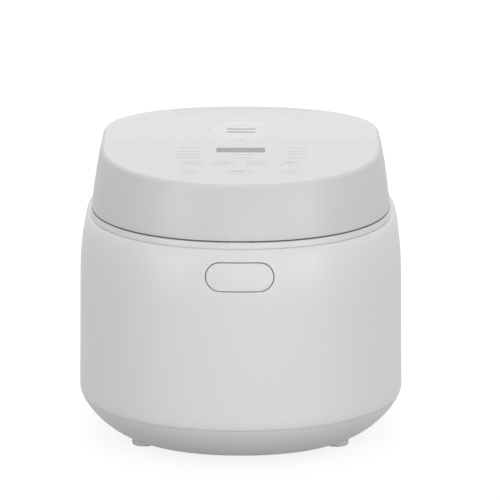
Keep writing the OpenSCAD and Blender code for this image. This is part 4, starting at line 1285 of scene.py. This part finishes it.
def build_hinge():
    low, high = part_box("hinge_bracket")
    axis = (PIN_LOW + PIN_HIGH) / 2
    columns = [low.x + (high.x - low.x) * k / 24 for k in range(25)]
    levels = [(wall_inset(z), z) for z in [POCKET_LOW] + shoulder_rows(POCKET_LOW, 9)]
    levels.append((wall_inset(SHELL_HIGH.z) + 0.32 * MM, BRACKET_TOP))
    rings = []
    for inset, z in levels:
        rear = [Vector((x, rear_edge(x, inset), z)) for x in columns]
        rings.append(rear + [Vector((x, low.y, z)) for x in reversed(columns)])
    parts = [sweep("hinge_bracket_body", rings, caps=True)]
    quarter_turn = Matrix.Rotation(math.radians(90), 4, "Y")
    half = EAR_WIDE / 2
    ear = rounded(rod(EAR_RADIUS, -half, half, PIN_HOLE), 0.4 * MM, closed=True)
    for x in (-EAR_X, EAR_X):
        parts.append(lathe("ear", ear, 48, at(x, axis.y, axis.z) @ quarter_turn, closed=True))
        front, rear = axis.y - EAR_RADIUS, axis.y + EAR_RADIUS
        post = [(x - half, front), (x + half, front), (x + half, rear), (x - half, rear)]
        parts.append(plate("post", [post], BRACKET_TOP - 3 * MM, axis.z - 2.3 * MM))
    finish_piece(join("hinge_bracket_body", parts), "cooker", "shell", "hinge_bracket")
    pin = rounded(rod(2 * MM, PIN_LOW.x, PIN_HIGH.x), 0.5 * MM)
    pin = lathe("hinge_pin_rod", pin, 32, at(0, axis.y, axis.z) @ quarter_turn)
    finish_piece(pin, "cooker", "screw steel", "hinge_pin")
    for node, body, finish in (
        ("hinge_arm", "lid", "grey plastic"),
        ("lid_catch", "lid", "latch plastic"),
        ("latch_slide", "release", "latch plastic"),
        ("latch_frame", "cooker", "grey plastic"),
    ):
        finish_piece(dressed_copy(node, DRESSED_EDGE), body, finish, node)


# ---- pot and inner lid ----

POT_WALL, POT_THICK, POT_CORNER, RIM_THICK = 113 * MM, 1.5 * MM, 18 * MM, 2 * MM
LEVELS, FIRST_LEVEL, LEVEL_STEP = 5, 32 * MM, 19 * MM
LONG_LINE, SHORT_LINE, LINE_HALF = 12, 9, 0.35 * MM  # level lines: their lengths in degrees, half their height
NUMBER_SIZE, NUMBER_BESIDE = 6.5 * MM, 17 * MM
MARK_THICK = 0.02 * MM
SEAL_INNER, SEAL_OUTER = 114.1 * MM, 118.6 * MM
STEAM_WAY_RADIUS = 5.6 * MM
LID_SCREW_IN, LID_SCREW_FRONT_X, LID_SCREW_REAR_X = 18.4 * MM, 50 * MM, 82 * MM


def build_pot():
    floor, top, rim = POT_LOW.z, POT_HIGH.z, POT_HIGH.x
    middle, height, inside = POT_WALL - POT_CORNER, floor + POT_CORNER, POT_WALL - POT_THICK
    inner_corner = POT_CORNER - POT_THICK
    profile = [(0, floor)] + arc(middle, height, POT_CORNER, POT_CORNER, -90, 0, 14)
    edge = [
        (POT_WALL, top - 30 * MM, 0), (POT_WALL, top - RIM_THICK, 1.2 * MM), (rim, top - RIM_THICK, 0.7 * MM),
        (rim, top, 0.9 * MM), (inside, top, 2.2 * MM), (inside, top - 20 * MM, 0),
    ]
    profile += rounded(edge, 0.8 * MM, 5) + arc(middle, height, inner_corner, inner_corner, 0, -90, 14)
    profile += above(floor + POT_THICK, (60, 0), (58, 0.15), (56, 0), (0, 0))
    finish_piece(lathe("inner_pot_shell", profile, 192), "cooker", "coating", "inner_pot")
    radius = inside - MARK_THICK
    marks = []
    for level in range(LEVELS):
        z = floor + FIRST_LEVEL + level * LEVEL_STEP
        line = level_line(radius, z, SHORT_LINE if level % 2 else LONG_LINE)
        marks += [line, level_number(radius, z, 2 * level + 2)]
    finish_piece(join("pot_level_marks", marks), "cooker", "pale print", slot="pot_coating")


def level_line(radius, z, reach):
    """Short line along the pot's inner wall, as many degrees long as its reach."""
    bm = bmesh.new()
    rows = []
    for x, y in arc(0, 0, radius, radius, 90 - reach / 2, 90 + reach / 2, 2 * reach):
        rows.append([bm.verts.new((x, y, z + rise)) for rise in (-LINE_HALF, LINE_HALF)])
    for one, two in zip(rows, rows[1:]):
        bm.faces.new((one[0], two[0], two[1], one[1]))
    bmesh.ops.recalc_face_normals(bm, faces=bm.faces)
    bmesh.ops.solidify(bm, geom=bm.faces[:], thickness=MARK_THICK)
    return from_bmesh("level_line", bm)


def level_number(radius, z, number):
    """Number beside a level line, bent along the wall."""
    word = print_mesh("level_number", str(number), NUMBER_SIZE, Matrix.Identity(4))
    for v in word.data.vertices:
        a = math.pi / 2 - (v.co.x - NUMBER_BESIDE) / radius
        near = radius - v.co.z
        v.co = Vector((near * math.cos(a), near * math.sin(a), z + v.co.y))
    return word


def build_inner_lid():
    low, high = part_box("inner_lid")
    seal_low, seal_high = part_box("steam_seal")
    ridges = ((5, 0), (17, 0), (40, 0), (46, 0.12), (52, 0.28), (58, 0.12), (64, 0), (96, 0), (98, 0.25), (100, 0))
    edge = [(101 * MM, low.z, 0), (high.x, low.z), (high.x, high.z), (5 * MM, high.z), (5 * MM, low.z, 0)]
    obj = lathe("inner_lid_disc", above(low.z, *ridges) + rounded(edge, 0.3 * MM)[:-1], 144, closed=True)
    way = rod(STEAM_WAY_RADIUS, low.z - 3 * MM, high.z + 3 * MM)
    cut(obj, [lathe("steam_way", way, 40, at(0, (seal_low.y + seal_high.y) / 2))])
    finish_piece(obj, "lid", "sheet steel", "inner_lid")
    knob_low, knob_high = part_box("inner_lid_knob")
    profile = above(knob_low.z, (0, 0.6), (6, 0.45), (9, 0), (12, 0.4), (13, 1.6))
    profile += above(low.z, (12.7, -0.3), (12.2, 0), (4.9, 0)) + above(knob_high.z, (4.9, 0), (0, 0))
    finish_piece(lathe("inner_lid_grip", rounded(profile, 0.4 * MM), 72), "lid", "silicone", "inner_lid_knob")
    low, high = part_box("lid_gasket")
    lips = ((0, 1.2), (0.9, 0.2), (2, 1.2), (3, 0))
    profile = [(SEAL_INNER + x * MM, low.z + z * MM) for x, z in lips]
    profile += [(SEAL_OUTER, low.z), (SEAL_OUTER, high.z), (SEAL_INNER, high.z)]
    obj = lathe("lid_seal_ring", rounded(profile, 0.5 * MM, closed=True), 160, closed=True)
    finish_piece(obj, "lid", "silicone", "lid_gasket")
    finish_piece(dressed_copy("lid_liner", 0.4 * MM), "lid", "trim", "lid_liner")
    low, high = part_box("lid_screws")
    head = MM
    places = [(x, y, low.z + head) for x, y in lid_screw_places()]
    add_screws("lid_screws", "lid", places, head, high.z - low.z - head)


def lid_screw_places():
    front, rear = LID_SCREW_FRONT_X, LID_SCREW_REAR_X
    places = [(side * front, front_edge(front, LID_SCREW_IN)) for side in (-1, 1)]
    return places + [(side * rear, rear_edge(rear, LID_SCREW_IN)) for side in (-1, 1)]


# ---- lid ----

LID_WALL, LID_EDGE = 2.2 * MM, 0.35 * MM
NOTCH_SHARE = 0.1187  # how far up the lid's wall its notch for the hinge reaches
SEAT_WIDE, SEAT_HIGH = 3.7 * MM, 1.5 * MM  # ledge that carries the top plates
PLATE_EDGE = 0.12 * MM
SEAM = 0.28 * MM
KEY_GAP = 0.06 * MM  # between a key and its hole
KEY_PROUD = 0.16 * MM
KEY_FLANGE = 1.2 * MM  # how far it reaches under the panel, and how thick it is
KEY_WORD_TALL, WORD_TALL, LONG_WORD_TALL = 3.4 * MM, 3.6 * MM, 4.4 * MM
LONG_WORD = 18  # millimetres from which a programme's word counts as long
PRINT_LIFT = 0.012 * MM
CAP_SKIRT, CAP_FLAT = 20.5 * MM, 10 * MM  # radius of the steam cap's skirt, and of its dish's flat middle
SLOT_YS, SLOT_WIDE, SLOT_HIGH, SLOT_BOW = (-3.45 * MM, 6.05 * MM), 24.5 * MM, 3.4 * MM, 0.35 * MM
DISPLAY = (0.0, -17.6 * MM, 40.2 * MM, 14.4 * MM)
# key: middle x, middle y, width, depth, corner radius, word, its width
KEYS = {
    "menu_key": (-40.5, -56.5, 17.2, 17.2, 5.0, "MENU", 8.4),
    "timer_key": (-13.5, -56.5, 17.2, 17.2, 5.0, "TIMER", 9.0),
    "hour_key": (13.5, -56.5, 17.2, 17.2, 5.0, "HOUR", 8.4),
    "minute_key": (40.5, -56.5, 17.2, 17.2, 5.0, "MIN", 6.4),
    "warm_key": (-40.5, -83.2, 16.6, 16.6, 8.3, "WARM", 8.4),
    "start_key": (0.0, -83.2, 18.4, 16.6, 5.0, "START", 10.4),
    "off_key": (40.5, -83.2, 16.6, 16.6, 8.3, "OFF", 6.4),
}
DARK_WORDS = ("minute_key", "start_key")  # their words are printed darker than the others
# word, middle x, middle y, width
PANEL_PRINT = (
    ("WHITE RICE", -42.7, -11.9, 16.0), ("BROWN RICE", -42.9, -22.8, 19.2), ("MIXED RICE", -43.3, -32.0, 19.6),
    ("PORRIDGE", -43.0, -41.2, 19.0), ("STEAM", 47.2, -11.9, 14.4), ("QUICK COOK", 47.4, -22.8, 16.2),
    ("SLOW COOK", 47.6, -32.0, 17.0), ("SOUP", 47.4, -41.2, 12.4), ("TIME LEFT", 1.8, -32.2, 17.6),
    ("CUPS", 1.8, -40.7, 12.0),
)


def build_lid_shell():
    s = sizes()
    fold = LID_EDGE * 0.3
    rings = [lid_ring(0.0, LID_EDGE), lid_ring(0.0, fold, fold), lid_ring(0.012), lid_ring(NOTCH_SHARE)]
    rings += [lid_ring(NOTCH_SHARE + (1 - NOTCH_SHARE) * k / 9) for k in range(1, 10)]
    for angle in (8, 18, 30, 45, 60, 72, 82, 90):
        a, power = math.radians(angle), 2 / s.rim_square
        inset = s.lid_in + s.lid_lean + s.rim_run * (1 - math.cos(a) ** power)
        rings.append(ring(inset, s.lid_middle - s.rim_high * (1 - math.sin(a) ** power), 1.0))
    ledge = s.lid_middle - (s.plate_thick + 0.02 * MM)
    for inward, z in ((0.01 * MM, ledge), (SEAT_WIDE, ledge), (SEAT_WIDE, ledge - SEAT_HIGH)):
        rings.append(ring(plate_inset() + inward, z, 1.0))
    rings += [lid_ring(share, LID_WALL) for share in (0.9, 0.6, 0.3, NOTCH_SHARE, 0.0)]
    notch = columns_at(NOTCH_X, True)
    outer_row, inner_row = 3, len(rings) - 2

    def skip(j, i):
        return notch[0] <= i < notch[1] and (j < outer_row or j >= inner_row)

    def extra(bm, grid):
        close_cut(bm, grid, notch, [*range(inner_row, len(grid)), *range(outer_row + 1)])

    parts = [sweep("lid_shell_skin", rings, closed=True, skip=skip, extra=extra)]
    post = rod(4 * MM, LINER_HIGH.z, LINER_HIGH.z + 12 * MM, 1.5 * MM)
    parts += [lathe("screw_post", post, 32, at(*place), closed=True) for place in lid_screw_places()]
    obj = finish_piece(join("lid_shell_skin", parts), "lid", "lid shell", "lid_shell")

    # painted highlight: the rim's upward faces get a lighter copy of the lid's white
    def on_rim(middle, normal):
        return middle.z > s.lid_middle - s.rim_high + slant() * middle.y and normal.z > 0.02

    refinish(obj, "rim", on_rim)


def plan_part(inset, front_limit, rear_limit):
    """Plan outline between two straight cuts across it."""
    points = plan(inset)
    kept = []
    for here, after in zip(points, points[1:] + points[:1]):
        if front_limit <= here.y <= rear_limit:
            kept.append((here.x, here.y))
        for limit in (front_limit, rear_limit):
            if (here.y - limit) * (after.y - limit) < 0:
                t = (limit - here.y) / (after.y - here.y)
                kept.append((here.x + (after.x - here.x) * t, limit))
    return kept


def key_loop(name, grow=0.0):
    x, y, wide, deep, corner = [v * MM for v in KEYS[name][:5]]
    if 2 * corner >= wide - SAME_PLACE:
        return circle_loop(x, y, wide / 2 + grow, 72)
    return round_rect_loop(x, y, wide + 2 * grow, deep + 2 * grow, corner + grow, 12)


def top_plate(name, loops, low=None, high=0, bevel=0.0, **settings):
    """Plate in the lid's top face, as thick as the panel unless it's told otherwise."""
    low = -sizes().plate_thick if low is None else low
    return plate(name, loops, low, high, bevel, lid_top_matrix(), **settings)


def build_panels():
    s = sizes()
    inset = plate_inset() + 0.06 * MM
    outline = plan_part(inset, -1.0, s.seam_y - SEAM / 2)
    holes = [round_rect_loop(*DISPLAY, 1.5 * MM)] + [key_loop(name, KEY_GAP) for name in KEYS]
    panel = top_plate("control_panel_face", [outline] + holes, bevel=PLATE_EDGE)
    finish_piece(panel, "lid", "panel", "control_panel")
    outline = plan_part(inset, s.seam_y + SEAM / 2, 1.0)
    hole = circle_loop(0, s.cap_place, s.cap_radius - 0.16 * MM, 128)
    cover = top_plate("rear_cover_face", [outline, hole], bevel=PLATE_EDGE)
    tab = round_rect_loop(0, s.seam_y + 2.2 * MM, 5 * MM, 1.6 * MM, 0.7 * MM)
    cut(cover, [top_plate("insert_seat", [insert_loop(0.0)], -MM, 2 * MM)])
    cut(cover, [top_plate("seam_tab", [tab], -0.25 * MM, 0.5 * MM)])
    finish_piece(cover, "lid", "rear cover", "rear_cover")


def insert_loop(shrink):
    """Outline of the trapezoid over the hinge, wider at the rear."""
    shares = [i / 12 for i in range(-12, 13)]
    front, rear = plate_inset() + 26.3 * MM - shrink, plate_inset() + 4 * MM + shrink
    loop = [(x, rear_edge(x, front)) for x in [share * (51 * MM - shrink) for share in shares]]
    return loop + [(x, rear_edge(x, rear)) for x in [share * (59 * MM - shrink) for share in reversed(shares)]]


def build_insert():
    obj = top_plate("hinge_cover_insert", [insert_loop(0.4 * MM)], -MM, -0.2 * MM, 0.25 * MM)
    finish_piece(obj, "lid", "insert", "hinge_cover")


def build_steam_cap():
    """Its dish is a shallow bowl with a flat middle, steepest at its edge."""
    s = sizes()
    dish, outer, inner = s.cap_radius - 0.9 * MM, s.cap_radius - 0.3 * MM, CAP_SKIRT - 2 * MM
    low, foot, roof = -s.plate_thick + 0.3 * MM, -8 * MM, -4 * MM
    profile = [(0, -s.dish_deep)]
    for share in [k / 24 for k in range(25)]:
        profile.append((CAP_FLAT + (dish - CAP_FLAT) * share, -s.dish_deep * (1 - share**2)))
    profile += [(outer - 0.12 * MM, 0.0), (outer - 0.03 * MM, -0.03 * MM), (outer, -0.12 * MM), (outer, low)]
    profile += [(CAP_SKIRT, low), (CAP_SKIRT, foot), (inner, foot), (inner, roof), (0, roof)]
    obj = lathe("steam_cap_disc", profile, 128)
    cut(obj, [smile_slot(y) for y in SLOT_YS])
    obj.data.transform(lid_top_matrix() @ at(0, s.cap_place))
    finish_piece(obj, "steam_cap", "steam cap", "steam_cap")


def smile_slot(y):
    """Slot with round ends and a front edge that bows towards the user."""
    up, across = SLOT_HIGH / 2, 0.75 * SLOT_HIGH / 2
    half = SLOT_WIDE / 2 - across
    xs = [half - 2 * half * k / 10 for k in range(1, 10)]
    loop = arc(half, y, across, up, -90, 90, 8) + [(x, y + up) for x in xs] + arc(-half, y, across, up, 90, 270, 8)
    loop += [(-x, y - up - SLOT_BOW * (1 - (x / half) ** 2)) for x in xs]
    return plate("slot_cutter", [loop], -9 * MM, MM)


def build_keys():
    top = lid_top_matrix()
    under = -sizes().plate_thick - 0.3 * MM
    for name, (x, y, *_, word, word_wide) in KEYS.items():
        low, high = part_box(name)
        foot = (top.inverted() @ Vector((x * MM, (low.y + high.y) / 2, low.z))).z
        stem = above(foot, (0, 0), (1.7, 0), (2, 0.3)) + [(2 * MM, under), (0, under)]
        parts = [
            top_plate("crown", [key_loop(name)], under - 0.5 * MM, KEY_PROUD, 0.25 * MM, steps=5),
            top_plate("flange", [key_loop(name, KEY_FLANGE)], under - KEY_FLANGE, under, 0.2 * MM),
            lathe("stem", stem, 24, top @ at(x * MM, y * MM)),
        ]
        finish_piece(join(name + "_cap", parts), name, "keys", name)
        place = top @ at(x * MM, y * MM, KEY_PROUD + PRINT_LIFT)
        label = print_mesh(name + "_word", word, KEY_WORD_TALL, place, word_wide * MM)
        finish_piece(label, name, "print" if name in DARK_WORDS else "pale print", slot="key_plastic")


def build_display():
    x, y, wide, deep = DISPLAY
    loop = round_rect_loop(x, y, wide - 0.2 * MM, deep - 0.2 * MM, 1.4 * MM)
    window = top_plate("display_lens", [loop], -sizes().plate_thick + 0.1 * MM, 0, 0.2 * MM, low_bevel=0.1 * MM)
    finish_piece(window, "lid", "window", "display_window")
    set_finish(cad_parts["display_module"], "display")


def build_print():
    marks = []
    for word, x, y, wide in PANEL_PRINT:
        tall = LONG_WORD_TALL if wide > LONG_WORD else WORD_TALL
        place = lid_top_matrix() @ at(x * MM, y * MM, PRINT_LIFT)
        marks.append(print_mesh("programme", word, tall, place, wide * MM))
    finish_piece(join("panel_print", marks), "lid", "pale print", slot="white_plastic")


# ---- inside ----

# finish: the nodes of the CAD model that it goes on
CARRIED = {
    "screw steel": ("collar_screws", "arm_screws", "board_screws", "latch_screws", "heating_tube"),
    "sheet steel": ("inner_casing",),
    "cast aluminium": ("heating_plate", "sensor_cap"),
    "mica": ("keep_warm_band",),
    "grey plastic": ("sensor_holder", "steam_cup"),
    "spring steel": ("release_spring", "hinge_spring"),
    "component black": ("thermal_fuse", "relay", "capacitor", "key_switches"),
    "component yellow": ("transformer",),
    "board": ("power_board", "display_board"),
    "silicone": ("steam_seal",),
}


def dress_inside():
    for finish, nodes in CARRIED.items():
        for node in nodes:
            set_finish(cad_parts[node], finish)


def build_sensor_spring():
    """Spring under the sensor's cap, with a mesh of its own. In the cooker it shortens as the pot presses the cap
    down; this piece keeps its length.
    """
    piece = finish_piece(dressed_copy("sensor_spring", 0.0), "cooker", "spring steel", "sensor_spring")
    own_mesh(piece)


# ---- stage ----

TARGET = Vector((0.0, 20.6 * MM, 121.5 * MM))  # what the camera looks at before its shift
VIEW_DISTANCE = 3.78
VIEW_RISE = math.radians(14.65)
VIEW_TURN = math.radians(0.4)
VIEW_SHIFT = (0.018, 0.0588)
LENS = 321.05
# brightness of the sky and the floor: the light they give, and how they look directly and in a gloss
SKY, SKY_SEEN, SKY_IN_GLOSS = 0.6, 1.0, 0.9
FLOOR_SEEN, FLOOR_IN_GLOSS = 0.84, 0.6
FLOOR_RADIUS, FLOOR_CLEAR = 6.0, 0.2 * MM
WHITE = (1, 1, 1, 1)
# lamp: its place, what it shines at, its width, height and power
LAMPS = {
    "lamp_front": ((0.5, -3.2, 0.25), (0, 0, 0.15), 1.8, 0.4, 13.2),
    "lamp_left": ((-2.2, -2.2, 0.5), (0, 0, 0.12), 1.2, 0.9, 12.7),
    "lamp_right": ((2.2, -2.2, 0.5), (0, 0, 0.12), 1.2, 0.9, 15.7),
    "lamp_rear": ((0.0, 1.7, 2.4), (0, 0, 0.2), 2.0, 1.1, 23.5),
}


def add_lamp(name, place, aim, wide, high, power):
    data = bpy.data.lights.new(name, "AREA")
    data.shape = "RECTANGLE"
    data.size, data.size_y, data.energy = wide, high, power
    lamp = new_object(name, data)
    lamp.location = place
    lamp.rotation_euler = (Vector(aim) - Vector(place)).to_track_quat("-Z", "Y").to_euler()


def seen_strength(tree, direct, mirrored, diffuse):
    """Brightness of a backdrop as it's seen directly, in a gloss, and by the light it gives."""
    path = add_node(tree, "LightPath").outputs
    direct_ray = math_node(tree, "MAXIMUM", path["Is Camera Ray"], path["Is Transmission Ray"])
    unseen = to_range(tree, path["Is Glossy Ray"], 0.0, 1.0, diffuse, mirrored)
    return to_range(tree, direct_ray, 0.0, 1.0, unseen, direct)


def add_floor():
    floor = plate("floor", [circle_loop(0, 0, FLOOR_RADIUS)], -0.02, -FLOOR_CLEAR)
    material, tree, shader = new_material("floor")
    for key, value in (
        ("Base Color", rgba(colours().backdrop)),
        ("Roughness", 0.9),
        ("Emission Color", WHITE),
        ("Emission Strength", seen_strength(tree, FLOOR_SEEN, FLOOR_IN_GLOSS, 0.0)),
    ):
        feed(tree, shader.inputs[key], value)
    floor.data.materials.append(material)


def add_sky(scene):
    scene.world = scene.world or bpy.data.worlds.new("World")
    scene.world.use_nodes = True
    tree = scene.world.node_tree
    tree.nodes.clear()
    strength = seen_strength(tree, SKY_SEEN, SKY_IN_GLOSS, SKY)
    light = add_node(tree, "Background", {"Color": WHITE, "Strength": strength}).outputs[0]
    add_node(tree, "OutputWorld", {0: light})


def add_camera(scene):
    camera = new_object("camera", bpy.data.cameras.new("camera"))
    camera.data.lens = LENS
    camera.data.sensor_width = 36.0
    camera.data.shift_x, camera.data.shift_y = VIEW_SHIFT
    camera.data.clip_end = 50.0
    back = Matrix.Rotation(VIEW_TURN, 3, "Z") @ Vector((0, -math.cos(VIEW_RISE), math.sin(VIEW_RISE)))
    camera.location = TARGET + VIEW_DISTANCE * back
    camera.rotation_euler = (math.pi / 2 - VIEW_RISE, 0, VIEW_TURN)
    scene.camera = camera


def build_stage():
    scene = bpy.context.scene
    add_floor()
    add_sky(scene)
    for name, settings in LAMPS.items():
        add_lamp(name, *settings)
    add_camera(scene)
    scene.view_settings.view_transform = "Standard"


# ---- operators, panel and run ----


class COOKER_OT_stage(bpy.types.Operator):
    """Add the floor, the lamps, the sky and the camera"""

    bl_idname = "cooker.stage"
    bl_label = "Stage"
    bl_options = {"REGISTER", "UNDO"}

    def execute(self, context):
        build_stage()
        return {"FINISHED"}


class COOKER_OT_body_shell(bpy.types.Operator):
    """Build the body's white shell with its openings"""

    bl_idname = "cooker.body_shell"
    bl_label = "Body shell"
    bl_options = {"REGISTER", "UNDO"}

    def execute(self, context):
        build_body_shell()
        return {"FINISHED"}


class COOKER_OT_release_button(bpy.types.Operator):
    """Build the capsule button that frees the lid"""

    bl_idname = "cooker.release_button"
    bl_label = "Release button"
    bl_options = {"REGISTER", "UNDO"}

    def execute(self, context):
        build_release_button()
        return {"FINISHED"}


class COOKER_OT_collar(bpy.types.Operator):
    """Build the collar round the pot's mouth"""

    bl_idname = "cooker.collar"
    bl_label = "Collar"
    bl_options = {"REGISTER", "UNDO"}

    def execute(self, context):
        build_collar()
        return {"FINISHED"}


class COOKER_OT_base(bpy.types.Operator):
    """Build the base tub, its feet and its screws"""

    bl_idname = "cooker.base"
    bl_label = "Base, feet and screws"
    bl_options = {"REGISTER", "UNDO"}

    def execute(self, context):
        build_base()
        return {"FINISHED"}


class COOKER_OT_inlet(bpy.types.Operator):
    """Build the inlet at the rear and its pins"""

    bl_idname = "cooker.inlet"
    bl_label = "Mains inlet"
    bl_options = {"REGISTER", "UNDO"}

    def execute(self, context):
        build_inlet()
        return {"FINISHED"}


class COOKER_OT_hinge(bpy.types.Operator):
    """Build the hinge bracket and pin, and dress the arm, catch and latch"""

    bl_idname = "cooker.hinge"
    bl_label = "Hinge and latch"
    bl_options = {"REGISTER", "UNDO"}

    def execute(self, context):
        build_hinge()
        return {"FINISHED"}


class COOKER_OT_pot(bpy.types.Operator):
    """Build the coated pot with its water lines"""

    bl_idname = "cooker.pot"
    bl_label = "Inner pot"
    bl_options = {"REGISTER", "UNDO"}

    def execute(self, context):
        build_pot()
        return {"FINISHED"}


class COOKER_OT_inner_lid(bpy.types.Operator):
    """Build the inner lid, its knob, the seal, the liner and its screws"""

    bl_idname = "cooker.inner_lid"
    bl_label = "Lid underside"
    bl_options = {"REGISTER", "UNDO"}

    def execute(self, context):
        build_inner_lid()
        return {"FINISHED"}


class COOKER_OT_lid_shell(bpy.types.Operator):
    """Build the lid's wall and rim"""

    bl_idname = "cooker.lid_shell"
    bl_label = "Lid shell"
    bl_options = {"REGISTER", "UNDO"}

    def execute(self, context):
        build_lid_shell()
        return {"FINISHED"}


class COOKER_OT_panels(bpy.types.Operator):
    """Build the control panel and the rear cover"""

    bl_idname = "cooker.panels"
    bl_label = "Top plates"
    bl_options = {"REGISTER", "UNDO"}

    def execute(self, context):
        build_panels()
        return {"FINISHED"}


class COOKER_OT_insert(bpy.types.Operator):
    """Build the grained insert over the hinge"""

    bl_idname = "cooker.insert"
    bl_label = "Grained insert"
    bl_options = {"REGISTER", "UNDO"}

    def execute(self, context):
        build_insert()
        return {"FINISHED"}


class COOKER_OT_steam_cap(bpy.types.Operator):
    """Build the dished steam cap with its slots"""

    bl_idname = "cooker.steam_cap"
    bl_label = "Steam cap"
    bl_options = {"REGISTER", "UNDO"}

    def execute(self, context):
        build_steam_cap()
        return {"FINISHED"}


class COOKER_OT_keys(bpy.types.Operator):
    """Build the seven keys and their words"""

    bl_idname = "cooker.keys"
    bl_label = "Keys"
    bl_options = {"REGISTER", "UNDO"}

    def execute(self, context):
        build_keys()
        return {"FINISHED"}


class COOKER_OT_display(bpy.types.Operator):
    """Build the display's lens and darken its module"""

    bl_idname = "cooker.display"
    bl_label = "Display"
    bl_options = {"REGISTER", "UNDO"}

    def execute(self, context):
        build_display()
        return {"FINISHED"}


class COOKER_OT_panel_print(bpy.types.Operator):
    """Add the programme words on the panel"""

    bl_idname = "cooker.panel_print"
    bl_label = "Panel print"
    bl_options = {"REGISTER", "UNDO"}

    def execute(self, context):
        build_print()
        return {"FINISHED"}


class COOKER_OT_sensor_spring(bpy.types.Operator):
    """Build the sensor's spring"""

    bl_idname = "cooker.sensor_spring"
    bl_label = "Sensor spring"
    bl_options = {"REGISTER", "UNDO"}

    def execute(self, context):
        build_sensor_spring()
        return {"FINISHED"}


class COOKER_OT_inside(bpy.types.Operator):
    """Give every inner part of the CAD model its finish"""

    bl_idname = "cooker.inside"
    bl_label = "Inner parts"
    bl_options = {"REGISTER", "UNDO"}

    def execute(self, context):
        dress_inside()
        return {"FINISHED"}


OPERATORS = (
    COOKER_OT_stage,
    COOKER_OT_body_shell,
    COOKER_OT_release_button,
    COOKER_OT_collar,
    COOKER_OT_base,
    COOKER_OT_inlet,
    COOKER_OT_hinge,
    COOKER_OT_pot,
    COOKER_OT_inner_lid,
    COOKER_OT_lid_shell,
    COOKER_OT_panels,
    COOKER_OT_insert,
    COOKER_OT_steam_cap,
    COOKER_OT_keys,
    COOKER_OT_display,
    COOKER_OT_panel_print,
    COOKER_OT_sensor_spring,
    COOKER_OT_inside,
)


class COOKER_PT_build(bpy.types.Panel):
    """Sidebar list of the pieces"""

    bl_idname = "COOKER_PT_build"
    bl_label = "Rice cooker"
    bl_space_type = "VIEW_3D"
    bl_region_type = "UI"
    bl_category = "Rice cooker"

    def draw(self, context):
        for entry in OPERATORS:
            self.layout.operator(entry.bl_idname)
        for group in (context.scene.cooker_sizes, context.scene.cooker_colours):
            box = self.layout.box()
            for name in group.__annotations__:
                box.prop(group, name)


CLASSES = (CookerSizes, CookerColours, *OPERATORS, COOKER_PT_build)


def register():
    for entry in CLASSES:
        bpy.utils.register_class(entry)
    bpy.types.Scene.cooker_sizes = PointerProperty(type=CookerSizes)
    bpy.types.Scene.cooker_colours = PointerProperty(type=CookerColours)


def unregister():
    del bpy.types.Scene.cooker_sizes
    del bpy.types.Scene.cooker_colours
    for entry in reversed(CLASSES):
        bpy.utils.unregister_class(entry)


def main():
    register()
    for entry in OPERATORS:
        getattr(bpy.ops.cooker, entry.bl_idname.split(".")[1])()


if __name__ == "__main__":
    main()
